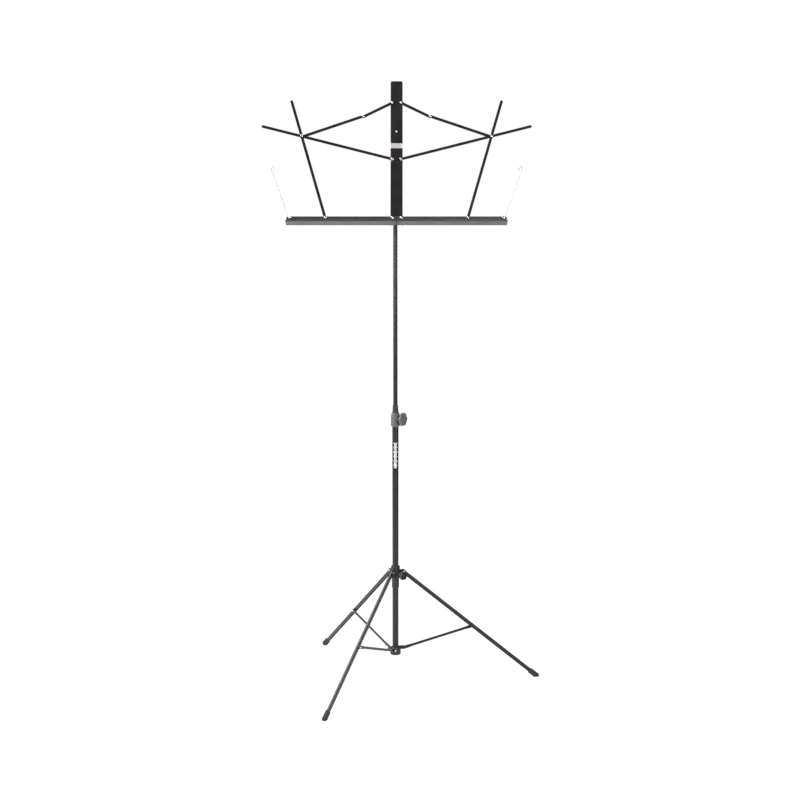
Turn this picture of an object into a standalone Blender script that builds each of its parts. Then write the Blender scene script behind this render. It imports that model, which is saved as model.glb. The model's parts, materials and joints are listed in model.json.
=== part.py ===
"""Folding wire music stand: tripod base, telescopic mast and a fold-flat desk.

Lengths are in metres, +Z is up and the desk faces -Y. The pole stands on the Z axis of the
"stand" empty, which is shifted at the end so that the origin is the middle of the footprint.
Inside the desk, X runs across, Z runs up the leaning channel and -Y points at the reader.
"""
import math

import bmesh
import bpy
from mathutils import Vector

# --- clearances -------------------------------------------------------------------------
GAP = 0.0003                    # between two surfaces that touch
ROUND_STEPS = 28                # facets round a tube
SMALL_STEPS = 14                # facets round a rivet

# --- pole -------------------------------------------------------------------------------
LOWER_RADIUS = 0.0072
LOWER_WALL = 0.0010
LOWER_BOTTOM = 0.0625
LOWER_TOP = 0.6085
UPPER_RADIUS = 0.0050
UPPER_WALL = 0.0008
UPPER_BOTTOM = 0.4700
TILT_AXIS_HEIGHT = 1.2277
HEAD_DROP = 0.0125              # end of the upper tube below the tilt bolt
GUIDE_LENGTH = 0.0150
SPIGOT_LENGTH = 0.0100

# --- tripod -----------------------------------------------------------------------------
FIRST_LEG_AZIMUTH = math.radians(2.8)
LEG_COUNT = 3
PIVOT_STANDOFF = 0.0068         # leg and strut pivots, out from the hub
LEG_PIVOT_HEIGHT = 0.2575
STRUT_PIVOT_HEIGHT = 0.0735
LEG_TO_RIVET = 0.2112           # leg pivot to the rivet that joins leg and strut
LEG_ANGLE = math.radians(51.0)  # from the vertical, with the stand open
LEG_WIDTH = 0.0058
LEG_DEPTH = 0.0088
LEG_WALL = 0.0010
LEG_END = 0.4000                # end of the steel, from the pivot
FOOT_END = 0.4100
FOOT_START = 0.3840
FOOT_WALL = 0.0009
FOOT_SOLE = 0.0016
STRUT_WIDTH = 0.0076
STRUT_THICKNESS = 0.0024

# --- rivets -----------------------------------------------------------------------------
PIN_RADIUS = 0.0015
HEAD_RADIUS = 0.0027
HEAD_HEIGHT = 0.0008
TAIL_RADIUS = 0.0021
SMALL_HEAD_RADIUS = 0.0019       # on the rivet of the tilt bracket

# --- collar and hub ---------------------------------------------------------------------
COLLAR_WALL = 0.0030
COLLAR_ABOVE = 0.0147           # above the leg pivots
COLLAR_STEP = 0.0155            # thick part and thin skirt end this far below them
COLLAR_BELOW = 0.0369
COLLAR_SKIRT_WALL = 0.0011
EAR_THICKNESS = 0.0016
EAR_RADIUS = 0.0050
COLLAR_KNOB_AZIMUTH = math.radians(-45.0)
COLLAR_KNOB_DROP = 0.0055       # knob centre below the leg pivots
COLLAR_BOSS_LENGTH = 0.0075
COLLAR_KNOB_RADIUS = 0.0105
COLLAR_KNOB_THICKNESS = 0.0110
HUB_WALL = 0.0050
HUB_FLOOR = 0.0027
HUB_HEIGHT = 0.0185
LUG_THICKNESS = 0.0025
LUG_RADIUS = 0.0042

# --- mast clamp -------------------------------------------------------------------------
CLAMP_LAP = 0.0085              # of the clamp over the lower tube
CLAMP_HEIGHT = 0.0320
CLAMP_WALL = 0.0028
CLAMP_CHAMFER = 0.0020
CLAMP_SCREW_UP = 0.0180         # from the bottom of the clamp
CLAMP_KNOB_AZIMUTH = math.radians(-30.0)
CLAMP_BOSS_LENGTH = 0.0037
CLAMP_KNOB_RADIUS = 0.0162
CLAMP_KNOB_THICKNESS = 0.0090
SCREW_RADIUS = 0.0022
BOSS_RADIUS = 0.0055
BUSH_CONE_HEIGHT = 0.0180

# --- tilt joint -------------------------------------------------------------------------
HEAD_SLEEVE_LENGTH = 0.0280
HEAD_SLEEVE_WALL = 0.0019
HEAD_CAP = 0.0030
TONGUE_THICKNESS = 0.0050
TONGUE_RADIUS = 0.0068
DESK_OFFSET = 0.0030            # the tongue stands beside the pole's centre line
TILT_BOLT_RADIUS = 0.0030
TILT_HEAD_RADIUS = 0.0052
TILT_HEAD_HEIGHT = 0.0035
BRACKET_SHEET = 0.0015
BRACKET_EAR_RADIUS = 0.0080
BRACKET_HALF_WIDTH = 0.0063
WING_HUB_RADIUS = 0.0050
WING_HUB_LENGTH = 0.0050
WING_SPAN = 0.0120
WING_LENGTH = 0.0076
WING_THICKNESS = 0.0022

# --- desk -------------------------------------------------------------------------------
DESK_LEAN = math.radians(20.0)
TILT_UP = 0.1710                # tilt bolt above the tray pivots, along the channel
TILT_BACK = 0.0240              # tilt bolt behind the channel's face
CHANNEL_WIDTH = 0.0272
CHANNEL_DEPTH = 0.0100
CHANNEL_WALL = 0.0012
CHANNEL_BELOW = 0.0125
CHANNEL_TOP = 0.3305
CHANNEL_CORNER = 0.0040
RIVET_INSET = 0.00255           # channel rivets, from the inside of the channel's flange
ARM_RIVET_UP = 0.1390
LINK_RIVET_UP = 0.2770
BRACKET_RIVET_UP = 0.2083
STRAP_UP = 0.1740                # middle of the strap
STRAP_HEIGHT = 0.0120
STRAP_SHEET = 0.0008
LONG_ARM_TO_CROSS = 0.2100
LONG_ARM_LENGTH = 0.3037
TRAY_TO_RIVET = 0.1480          # tray pivot to side-arm rivet
SIDE_ARM_BEYOND = 0.0890        # side arm above the cross rivet
INNER_LINK = 0.0739
ARM_WIDTH = 0.0063
ARM_THICKNESS = 0.0018
TRAY_HALF_LENGTH = 0.2337       # from the tray pivot to the outer end
TRAY_SHEET = 0.0012
TRAY_BACK_ABOVE = 0.0027
TRAY_BACK_BELOW = 0.0183
TRAY_LEDGE = 0.0290
TRAY_LIP = 0.0045
RETAINER_RIVET = 0.2263         # from the tray pivot
RETAINER_LENGTH = 0.1250
RETAINER_LEAN = math.radians(19.5)
RETAINER_WIRE = 0.0007          # radius
RETAINER_EYE = 0.0027
RETAINER_LOOP = 0.0030          # radius of the bend at the tip
RETAINER_HOOK = 0.0080

# --- sizes that follow ------------------------------------------------------------------
LOWER_BORE = LOWER_RADIUS - LOWER_WALL
UPPER_BORE = UPPER_RADIUS - UPPER_WALL
SLEEVE_BORE = LOWER_RADIUS + GAP
COLLAR_RADIUS = SLEEVE_BORE + COLLAR_WALL
HUB_RADIUS = SLEEVE_BORE + HUB_WALL
CLAMP_RADIUS = SLEEVE_BORE + CLAMP_WALL
COLLAR_BOSS_REACH = COLLAR_RADIUS + COLLAR_BOSS_LENGTH
CLAMP_BOSS_REACH = CLAMP_RADIUS + CLAMP_BOSS_LENGTH
LEG_PIVOT_RADIUS = HUB_RADIUS + PIVOT_STANDOFF      # for the struts too, so the legs fold flat
CLAMP_BOTTOM = LOWER_TOP - CLAMP_LAP
CLAMP_SCREW_HEIGHT = CLAMP_BOTTOM + CLAMP_SCREW_UP
LEG_HALF = LEG_WIDTH / 2
FOOT_HALF = LEG_HALF + GAP + FOOT_WALL
FOOT_HALF_DEPTH = LEG_DEPTH / 2 + GAP + FOOT_SOLE
STRUT_NEAR = FOOT_HALF + GAP            # sideways from the leg's middle plane
STRUT_FAR = STRUT_NEAR + STRUT_THICKNESS
LUG_NEAR = STRUT_FAR + GAP
LUG_FAR = LUG_NEAR + LUG_THICKNESS
EAR_NEAR = LEG_HALF + GAP
EAR_FAR = EAR_NEAR + EAR_THICKNESS
HOLE_RADIUS = PIN_RADIUS + GAP
CLAMP_TOP = CLAMP_BOTTOM + CLAMP_HEIGHT
UPPER_TOP = TILT_AXIS_HEIGHT - HEAD_DROP
RIVET_X = CHANNEL_WIDTH / 2 - CHANNEL_WALL - RIVET_INSET
STRUT_RISE = LEG_PIVOT_HEIGHT - LEG_TO_RIVET * math.cos(LEG_ANGLE) - STRUT_PIVOT_HEIGHT
STRUT_REACH = LEG_TO_RIVET * math.sin(LEG_ANGLE)
STRUT_LENGTH = math.hypot(STRUT_RISE, STRUT_REACH)
STRUT_ANGLE = math.atan2(STRUT_RISE, STRUT_REACH)

# Layers in front of the channel's face, as distances towards the reader.
LAYER_STEP = ARM_THICKNESS + HEAD_HEIGHT + 2 * GAP
INNER_LINK_BACK = GAP
OUTER_LINK_BACK = INNER_LINK_BACK + LAYER_STEP + GAP
LONG_ARM_BACK = OUTER_LINK_BACK + LAYER_STEP + GAP
SIDE_ARM_BACK = LONG_ARM_BACK + ARM_THICKNESS + GAP
TRAY_BACK = SIDE_ARM_BACK + ARM_THICKNESS + GAP
TRAY_FACE = TRAY_BACK + TRAY_SHEET
WIRE_BACK = TRAY_FACE + HEAD_HEIGHT + 2 * GAP
WIRE_FRONT = WIRE_BACK + 2 * RETAINER_WIRE

# Lengths that let each side fold flat against the channel.
SIDE_ARM_TO_CROSS = ARM_RIVET_UP + LONG_ARM_TO_CROSS - TRAY_TO_RIVET
OUTER_LINK = ARM_RIVET_UP + LONG_ARM_TO_CROSS - (LINK_RIVET_UP - INNER_LINK)


def circle_meeting(first, first_radius, second, second_radius, side):
    """Point at two given distances from two points; side +1 lies left of first to second."""
    first = Vector(first)
    second = Vector(second)
    along = second - first
    span = along.length
    along.normalize()
    ahead = (span ** 2 + first_radius ** 2 - second_radius ** 2) / (2 * span)
    aside = math.sqrt(first_radius ** 2 - ahead ** 2)
    return first + along * ahead + side * aside * Vector((-along.y, along.x))


ARM_RIVET = Vector((RIVET_X, ARM_RIVET_UP))
LINK_RIVET = Vector((RIVET_X, LINK_RIVET_UP))
SIDE_RIVET = Vector((RIVET_X + TRAY_TO_RIVET, 0.0))
CROSS_RIVET = circle_meeting(ARM_RIVET, LONG_ARM_TO_CROSS, SIDE_RIVET, SIDE_ARM_TO_CROSS, 1)
KNEE_RIVET = circle_meeting(LINK_RIVET, INNER_LINK, CROSS_RIVET, OUTER_LINK, -1)


def direction(first, second):
    """Angle of the line from first to second, above the X axis."""
    return math.atan2(second.y - first.y, second.x - first.x)


LONG_ARM_ANGLE = direction(ARM_RIVET, CROSS_RIVET)
SIDE_ARM_ANGLE = direction(SIDE_RIVET, CROSS_RIVET)
INNER_LINK_ANGLE = direction(LINK_RIVET, KNEE_RIVET)
OUTER_LINK_ANGLE = direction(KNEE_RIVET, CROSS_RIVET)

# --- scene and materials ----------------------------------------------------------------
for leftover in list(bpy.data.objects):
    bpy.data.objects.remove(leftover)


def material(name, colour, roughness, metallic):
    made = bpy.data.materials.new(name)
    made.use_nodes = True
    shader = made.node_tree.nodes["Principled BSDF"]
    shader.inputs["Base Color"].default_value = (*colour, 1.0)
    shader.inputs["Roughness"].default_value = roughness
    shader.inputs["Metallic"].default_value = metallic
    made.diffuse_color = (*colour, 1.0)
    return made


BLACK_PAINT = ("black_paint", (0.020, 0.020, 0.022), 0.38, 0.0)
CHANNEL_PAINT = ("channel_paint", (0.012, 0.011, 0.011), 0.45, 0.0)
TRAY_PAINT = ("tray_paint", (0.045, 0.045, 0.048), 0.42, 0.0)
GREY_PLASTIC = ("grey_plastic", (0.075, 0.075, 0.080), 0.50, 0.0)
BLACK_PLASTIC = ("black_plastic", (0.025, 0.025, 0.027), 0.55, 0.0)
BLACK_RUBBER = ("black_rubber", (0.014, 0.014, 0.014), 0.80, 0.0)
BRIGHT_STEEL = ("bright_steel", (0.78, 0.77, 0.75), 0.25, 1.0)
PLATED_STRAP = ("plated_strap", (0.66, 0.64, 0.62), 0.35, 1.0)
SPRING_WIRE = ("spring_wire", (0.86, 0.86, 0.87), 0.18, 1.0)


# --- building helpers -------------------------------------------------------------------
def finish_mesh(name, mesh_data, look, smooth=True):
    """Turn a bmesh into a named object with a material of its own."""
    bmesh.ops.remove_doubles(mesh_data, verts=mesh_data.verts, dist=1e-6)
    bmesh.ops.recalc_face_normals(mesh_data, faces=mesh_data.faces)
    mesh = bpy.data.meshes.new(name)
    mesh_data.to_mesh(mesh)
    mesh_data.free()
    if smooth:
        mesh.shade_smooth()
        mesh.set_sharp_from_angle(angle=math.radians(35))
    made = bpy.data.objects.new(name, mesh)
    bpy.context.collection.objects.link(made)
    if look:
        kind, colour, roughness, metallic = look
        mesh.materials.append(material(f"{name}_{kind}", colour, roughness, metallic))
    return made


def turned(name, profile, look, steps=ROUND_STEPS):
    """Solid turned about local Z. The (radius, height) profile either starts and ends on the
    axis, or is a closed ring that never meets it."""
    shape = bmesh.new()
    rings = []
    for radius, height in profile:
        if radius < 1e-9:
            rings.append([shape.verts.new((0, 0, height))])
            continue
        ring = []
        for step in range(steps):
            turn = 2 * math.pi * step / steps
            ring.append(shape.verts.new((radius * math.cos(turn), radius * math.sin(turn), height)))
        rings.append(ring)
    pairs = list(zip(rings, rings[1:]))
    if profile[0][0] > 1e-9:
        pairs.append((rings[-1], rings[0]))
    for low, high in pairs:
        for step in range(steps):
            after = (step + 1) % steps
            corners = []
            for ring, index in ((low, step), (low, after), (high, after), (high, step)):
                corner = ring[index] if len(ring) > 1 else ring[0]
                if corner not in corners:
                    corners.append(corner)
            if len(corners) > 2:
                shape.faces.new(corners)
    return finish_mesh(name, shape, look)


def plate(name, outline, holes, back, front, look):
    """Flat sheet in the XZ plane with round holes, from y = -back to y = -front."""
    shape = bmesh.new()
    loops = [outline]
    for centre, radius in holes:
        loops.append(arc(centre, radius, 0, 2 * math.pi, SMALL_STEPS)[:-1])
    for loop in loops:
        corners = [shape.verts.new((x, -back, z)) for x, z in loop]
        for index, corner in enumerate(corners):
            shape.edges.new((corner, corners[index - 1]))
    bmesh.ops.triangle_fill(shape, use_beauty=True, edges=shape.edges)
    grown = bmesh.ops.extrude_face_region(shape, geom=list(shape.faces))
    moved = [item for item in grown["geom"] if isinstance(item, bmesh.types.BMVert)]
    bmesh.ops.translate(shape, verts=moved, vec=(0, back - front, 0))
    return finish_mesh(name, shape, look)


def extruded(name, outline, start, end, look):
    """Bar along X with the closed (y, z) outline as its section."""
    shape = bmesh.new()
    face = shape.faces.new([shape.verts.new((start, y, z)) for y, z in outline])
    grown = bmesh.ops.extrude_face_region(shape, geom=[face])
    moved = [item for item in grown["geom"] if isinstance(item, bmesh.types.BMVert)]
    bmesh.ops.translate(shape, verts=moved, vec=(end - start, 0, 0))
    return finish_mesh(name, shape, look)


def block(name, low, high, look):
    """Rectangular solid between two corners."""
    outline = [(low[1], low[2]), (high[1], low[2]), (high[1], high[2]), (low[1], high[2])]
    return extruded(name, outline, low[0], high[0], look)


def arc(centre, radius, start, end, steps):
    """Points on an arc, both ends included."""
    points = []
    for step in range(steps + 1):
        turn = start + (end - start) * step / steps
        points.append((centre[0] + radius * math.cos(turn), centre[1] + radius * math.sin(turn)))
    return points


def stadium(start, end, width):
    """Outline of a straight strip along X with round ends."""
    half = width / 2
    outline = arc((end, 0), half, -math.pi / 2, math.pi / 2, 8)
    return outline + arc((start, 0), half, math.pi / 2, 3 * math.pi / 2, 8)


def place(piece, parent, location=(0, 0, 0), rotation=(0, 0, 0)):
    piece.parent = parent
    piece.location = location
    piece.rotation_euler = rotation
    return piece


def empty(name, parent, location=(0, 0, 0), rotation=(0, 0, 0)):
    made = bpy.data.objects.new(name, None)
    bpy.context.collection.objects.link(made)
    return place(made, parent, location, rotation)


def combine(piece, tool, operation):
    """Join or cut with a tool that stays in the file as a hidden guide."""
    tool.hide_render = True
    tool.display_type = "WIRE"
    step = piece.modifiers.new(f"{operation.lower()}_{tool.name}", "BOOLEAN")
    step.operation = operation
    step.solver = "EXACT"
    step.object = tool


def rod(name, radius, start, end, look=None, steps=SMALL_STEPS):
    """Plain round bar along local Z."""
    return turned(name, [(0, start), (radius, start), (radius, end), (0, end)], look, steps)


def drill(piece, name, radius, parent, location, rotation, half_length):
    """Cut a round hole through a piece, centred on the location."""
    cutter = rod(f"cut_{name}", radius, -half_length, half_length)
    place(cutter, parent, location, rotation)
    combine(piece, cutter, "DIFFERENCE")


FACING_FRONT = (math.pi / 2, 0, 0)      # turns local Z to -Y, towards the reader
FACING_BACK = (-math.pi / 2, 0, 0)
FACING_RIGHT = (0, math.pi / 2, 0)      # turns local Z to +X


def rivet_profile(stations, head_at, tail_at=None, head_radius=HEAD_RADIUS):
    """Outline of a rivet from back to front. Stations are (radius, start, end) cylinders."""
    points = []
    if tail_at is not None:
        points += [(TAIL_RADIUS * 0.8, tail_at), (TAIL_RADIUS, tail_at + HEAD_HEIGHT * 0.3)]
        points += [(TAIL_RADIUS, tail_at + HEAD_HEIGHT)]
    for radius, start, end in stations:
        points += [(radius, start), (radius, end)]
    points += [(head_radius, head_at), (head_radius, head_at + HEAD_HEIGHT * 0.4)]
    points += [(head_radius * 0.6, head_at + HEAD_HEIGHT * 0.9), (0, head_at + HEAD_HEIGHT)]
    return [(0, points[0][1])] + points


# --- the stand --------------------------------------------------------------------------
stand = empty("stand", None)


def build_pole():
    lower = [(LOWER_RADIUS, LOWER_BOTTOM), (LOWER_RADIUS, LOWER_TOP)]
    lower += [(LOWER_BORE, LOWER_TOP), (LOWER_BORE, LOWER_BOTTOM)]
    place(turned("lower_tube", lower, BLACK_PAINT), stand)
    upper = [(UPPER_RADIUS, UPPER_BOTTOM), (UPPER_RADIUS, UPPER_TOP)]
    upper += [(UPPER_BORE, UPPER_TOP), (UPPER_BORE, UPPER_BOTTOM)]
    place(turned("upper_tube", upper, BLACK_PAINT), stand)
    guide_radius = LOWER_BORE - GAP
    spigot_radius = UPPER_BORE - GAP
    guide_top = UPPER_BOTTOM - GAP
    guide = [(0, guide_top - GUIDE_LENGTH), (guide_radius - 0.001, guide_top - GUIDE_LENGTH)]
    guide += [(guide_radius, guide_top - GUIDE_LENGTH + 0.001), (guide_radius, guide_top)]
    guide += [(spigot_radius, guide_top), (spigot_radius, guide_top + SPIGOT_LENGTH)]
    guide += [(0, guide_top + SPIGOT_LENGTH)]
    place(turned("mast_guide_plug", guide, BLACK_PLASTIC), stand)


def build_hub():
    bottom = LOWER_BOTTOM - GAP - HUB_FLOOR
    seat = bottom + HUB_FLOOR
    top = bottom + HUB_HEIGHT
    profile = [(0, bottom), (HUB_RADIUS - 0.0015, bottom), (HUB_RADIUS, bottom + 0.0015)]
    profile += [(HUB_RADIUS, top - 0.0045), (HUB_RADIUS - 0.0030, top)]
    profile += [(SLEEVE_BORE, top), (SLEEVE_BORE, seat), (0, seat)]
    hub = place(turned("base_hub", profile, BLACK_PLASTIC), stand)
    reach = arc((LEG_PIVOT_RADIUS, 0), LUG_RADIUS, -math.pi / 2, math.pi / 2, 8)
    outline = reach + [(HUB_RADIUS / 2, LUG_RADIUS), (HUB_RADIUS / 2, -LUG_RADIUS)]
    hole = [((LEG_PIVOT_RADIUS, 0), HOLE_RADIUS)]
    for number, azimuth in leg_azimuths():
        lug = plate(f"lug_{number}", outline, hole, -LUG_FAR, -LUG_NEAR, None)
        place(lug, stand, (0, 0, STRUT_PIVOT_HEIGHT), (0, 0, azimuth))
        combine(hub, lug, "UNION")


def leg_azimuths():
    spacing = 2 * math.pi / LEG_COUNT
    return [(index + 1, FIRST_LEG_AZIMUTH + index * spacing) for index in range(LEG_COUNT)]


def build_collar():
    low = LEG_PIVOT_HEIGHT - COLLAR_BELOW
    high = LEG_PIVOT_HEIGHT + COLLAR_ABOVE
    step = LEG_PIVOT_HEIGHT - COLLAR_STEP
    skirt = SLEEVE_BORE + COLLAR_SKIRT_WALL
    profile = [(skirt, low), (skirt, step - 0.0010), (COLLAR_RADIUS, step + 0.0010)]
    profile += [(COLLAR_RADIUS, high - 0.0015), (COLLAR_RADIUS - 0.0015, high)]
    profile += [(SLEEVE_BORE, high), (SLEEVE_BORE, low)]
    collar = place(turned("leg_collar", profile, BLACK_PLASTIC), stand)
    tip = arc((LEG_PIVOT_RADIUS, 0), EAR_RADIUS, -math.pi / 3, math.pi / 2, 8)
    root = math.sqrt(COLLAR_RADIUS ** 2 - EAR_FAR ** 2) - 0.0010
    outline = tip + [(root, EAR_RADIUS), (root, -0.0140)]
    hole = [((LEG_PIVOT_RADIUS, 0), HOLE_RADIUS)]
    for number, azimuth in leg_azimuths():
        for side, near, far in (("a", EAR_NEAR, EAR_FAR), ("b", -EAR_FAR, -EAR_NEAR)):
            ear = plate(f"ear_{number}{side}", outline, hole, near, far, None)
            place(ear, stand, (0, 0, LEG_PIVOT_HEIGHT), (0, 0, azimuth))
            combine(collar, ear, "UNION")
    height = LEG_PIVOT_HEIGHT - COLLAR_KNOB_DROP
    add_boss(collar, "collar", COLLAR_KNOB_AZIMUTH, height, COLLAR_RADIUS, COLLAR_BOSS_REACH)


def add_boss(piece, name, azimuth, height, body_radius, reach):
    """Threaded boss standing out of a round body, drilled through to the bore."""
    rotation = (0, math.pi / 2, azimuth)
    boss = rod(f"boss_{name}", BOSS_RADIUS, body_radius - 0.0012, reach, steps=18)
    place(boss, stand, (0, 0, height), rotation)
    combine(piece, boss, "UNION")
    cutter = rod(f"cut_boss_{name}", SCREW_RADIUS + GAP, LOWER_RADIUS - 0.003, reach + 0.002)
    place(cutter, stand, (0, 0, height), rotation)
    combine(piece, cutter, "DIFFERENCE")


def knob(name, azimuth, height, tip, seat, radius, thickness, look):
    """Thumb screw: a shank from tip to seat and a lobed head beyond it."""
    shape = [(0, tip), (SCREW_RADIUS, tip), (SCREW_RADIUS, seat), (radius * 0.55, seat)]
    shape += [(radius * 0.92, seat + thickness * 0.25), (radius, seat + thickness * 0.45)]
    shape += [(radius, seat + thickness * 0.80), (radius * 0.90, seat + thickness)]
    shape += [(0, seat + thickness)]
    made = turned(name, shape, look, 24)
    return place(made, stand, (0, 0, height), (0, math.pi / 2, azimuth))


def build_legs():
    half = LEG_HALF
    deep = LEG_DEPTH / 2
    inner = half - LEG_WALL
    section = [(-half, -deep), (-half, deep), (half, deep), (half, -deep), (inner, -deep)]
    section += [(inner, deep - LEG_WALL), (-inner, deep - LEG_WALL), (-inner, -deep)]
    for number, azimuth in leg_azimuths():
        pivot = (LEG_PIVOT_RADIUS * math.cos(azimuth), LEG_PIVOT_RADIUS * math.sin(azimuth))
        rotation = (0, math.pi / 2 - LEG_ANGLE, azimuth)
        leg = extruded(f"leg_{number}", section, -LEG_DEPTH * 0.75, LEG_END, BLACK_PAINT)
        place(leg, stand, (*pivot, LEG_PIVOT_HEIGHT), rotation)
        drill(leg, f"leg_pin_{number}", HOLE_RADIUS, leg, (0, 0, 0), FACING_FRONT, LEG_WIDTH)
        place(build_foot(f"leg_foot_{number}"), stand, (*pivot, LEG_PIVOT_HEIGHT), rotation)
        reach = EAR_FAR + GAP
        profile = rivet_profile([(PIN_RADIUS, -reach, reach)], reach, -reach - HEAD_HEIGHT)
        pin = turned(f"leg_pin_{number}", profile, BRIGHT_STEEL, SMALL_STEPS)
        place(pin, stand, (*pivot, LEG_PIVOT_HEIGHT), (math.pi / 2, 0, azimuth))


def build_foot(name):
    """Rubber boot over the end of a leg, its sole cut level with the floor."""
    corner = 0.0016
    wide = FOOT_HALF - corner
    deep = FOOT_HALF_DEPTH - corner
    outline = []
    for quarter, (y, z) in enumerate(((wide, deep), (-wide, deep), (-wide, -deep), (wide, -deep))):
        outline += arc((y, z), corner, quarter * math.pi / 2, (quarter + 1) * math.pi / 2, 3)
    shape = bmesh.new()
    rings = []
    for along, scale in ((FOOT_START, 1), (FOOT_END - 0.002, 1), (FOOT_END, 0.72)):
        rings.append([shape.verts.new((along, y * scale, z * scale)) for y, z in outline])
    for low, high in zip(rings, rings[1:]):
        for index in range(len(outline)):
            shape.faces.new((low[index - 1], low[index], high[index], high[index - 1]))
    shape.faces.new(rings[-1])
    shape.faces.new(rings[0])
    up = Vector((-math.cos(LEG_ANGLE), 0, math.sin(LEG_ANGLE)))
    everything = shape.verts[:] + shape.edges[:] + shape.faces[:]
    cut = bmesh.ops.bisect_plane(shape, geom=everything, plane_co=up * -LEG_PIVOT_HEIGHT,
                                 plane_no=up, clear_inner=True)
    rim = [item for item in cut["geom_cut"] if isinstance(item, bmesh.types.BMEdge)]
    bmesh.ops.holes_fill(shape, edges=rim)
    foot = finish_mesh(name, shape, BLACK_RUBBER)
    socket_y = LEG_HALF + GAP
    socket_z = LEG_DEPTH / 2 + GAP
    low = (FOOT_START - 0.002, -socket_y, -socket_z)
    high = (LEG_END + GAP, socket_y, socket_z)
    socket = place(block(f"cut_{name}", low, high, None), foot)
    combine(foot, socket, "DIFFERENCE")
    return foot


def build_struts():
    middle = LEG_PIVOT_RADIUS
    outline = stadium(0, STRUT_LENGTH, STRUT_WIDTH)
    holes = [((0, 0), HOLE_RADIUS), ((STRUT_LENGTH, 0), HOLE_RADIUS)]
    for number, azimuth in leg_azimuths():
        pivot = (middle * math.cos(azimuth), middle * math.sin(azimuth), STRUT_PIVOT_HEIGHT)
        rotation = (0, -STRUT_ANGLE, azimuth)
        strut = plate(f"strut_{number}", outline, holes, -STRUT_FAR, -STRUT_NEAR, BLACK_PAINT)
        place(strut, stand, pivot, rotation)
        outer = LUG_FAR + GAP
        profile = rivet_profile([(PIN_RADIUS, STRUT_NEAR, outer)], outer)
        pin = turned(f"strut_pin_{number}", profile, BRIGHT_STEEL, SMALL_STEPS)
        place(pin, stand, pivot, (-math.pi / 2, 0, azimuth))
        inner = LEG_HALF + GAP
        outer = STRUT_FAR + GAP
        profile = [(0, inner), (HEAD_RADIUS, inner), (HEAD_RADIUS, STRUT_NEAR - GAP)]
        profile += rivet_profile([(PIN_RADIUS, STRUT_NEAR - GAP, outer)], outer)[1:]
        rivet = turned(f"strut_rivet_{number}", profile, BRIGHT_STEEL, SMALL_STEPS)
        place(rivet, strut, (STRUT_LENGTH, 0, 0), FACING_BACK)


def build_clamp():
    inside = SLEEVE_BORE
    edge = CLAMP_RADIUS - CLAMP_CHAMFER
    profile = [(edge, CLAMP_BOTTOM), (CLAMP_RADIUS, CLAMP_BOTTOM + CLAMP_CHAMFER)]
    profile += [(CLAMP_RADIUS, CLAMP_TOP - CLAMP_CHAMFER), (edge, CLAMP_TOP)]
    profile += [(inside, CLAMP_TOP), (inside, CLAMP_BOTTOM)]
    body = place(turned("mast_clamp", profile, GREY_PLASTIC), stand)
    add_boss(body, "clamp", CLAMP_KNOB_AZIMUTH, CLAMP_SCREW_HEIGHT, CLAMP_RADIUS, CLAMP_BOSS_REACH)
    bore = UPPER_RADIUS + GAP
    low = LOWER_TOP + GAP
    shoulder = CLAMP_TOP + GAP
    top = shoulder + BUSH_CONE_HEIGHT
    profile = [(bore, low), (LOWER_RADIUS, low), (LOWER_RADIUS, shoulder + 0.0015)]
    profile += [(bore + 0.0005, top), (bore, top)]
    bush = place(turned("mast_bushing", profile, BLACK_PLASTIC), stand)
    drill(bush, "bush_screw", SCREW_RADIUS + GAP, stand,
          (0.010 * math.cos(CLAMP_KNOB_AZIMUTH), 0.010 * math.sin(CLAMP_KNOB_AZIMUTH), CLAMP_SCREW_HEIGHT),
          (0, math.pi / 2, CLAMP_KNOB_AZIMUTH), 0.008)
    knob("mast_clamp_knob", CLAMP_KNOB_AZIMUTH, CLAMP_SCREW_HEIGHT, UPPER_RADIUS + GAP,
         CLAMP_BOSS_REACH + GAP, CLAMP_KNOB_RADIUS, CLAMP_KNOB_THICKNESS, GREY_PLASTIC)
    knob("collar_knob", COLLAR_KNOB_AZIMUTH, LEG_PIVOT_HEIGHT - COLLAR_KNOB_DROP, LOWER_RADIUS + GAP,
         COLLAR_BOSS_REACH + GAP, COLLAR_KNOB_RADIUS, COLLAR_KNOB_THICKNESS, BLACK_PLASTIC)


def build_tilt_head():
    bore = UPPER_RADIUS + GAP
    radius = bore + HEAD_SLEEVE_WALL
    inside_top = -HEAD_DROP + GAP
    bottom = inside_top - HEAD_SLEEVE_LENGTH
    cap = inside_top + HEAD_CAP
    ring = [(0, inside_top), (bore, inside_top), (bore, bottom), (radius, bottom)]
    ring += [(radius, cap - 0.0008), (radius - 0.0008, cap), (0, cap)]
    head = place(turned("tilt_head", ring, BLACK_PLASTIC), stand, (0, 0, TILT_AXIS_HEIGHT))
    crown = arc((0, 0), TONGUE_RADIUS, 0, math.pi, 12)
    outline = crown + [(-TONGUE_RADIUS, cap - 0.0012), (TONGUE_RADIUS, cap - 0.0012)]
    half = TONGUE_THICKNESS / 2
    hole = [((0, 0), TILT_BOLT_RADIUS + GAP)]
    tongue = plate("tongue", outline, hole, -half, half, None)
    place(tongue, head, (DESK_OFFSET, 0, 0), (0, 0, math.pi / 2))
    combine(head, tongue, "UNION")


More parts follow.
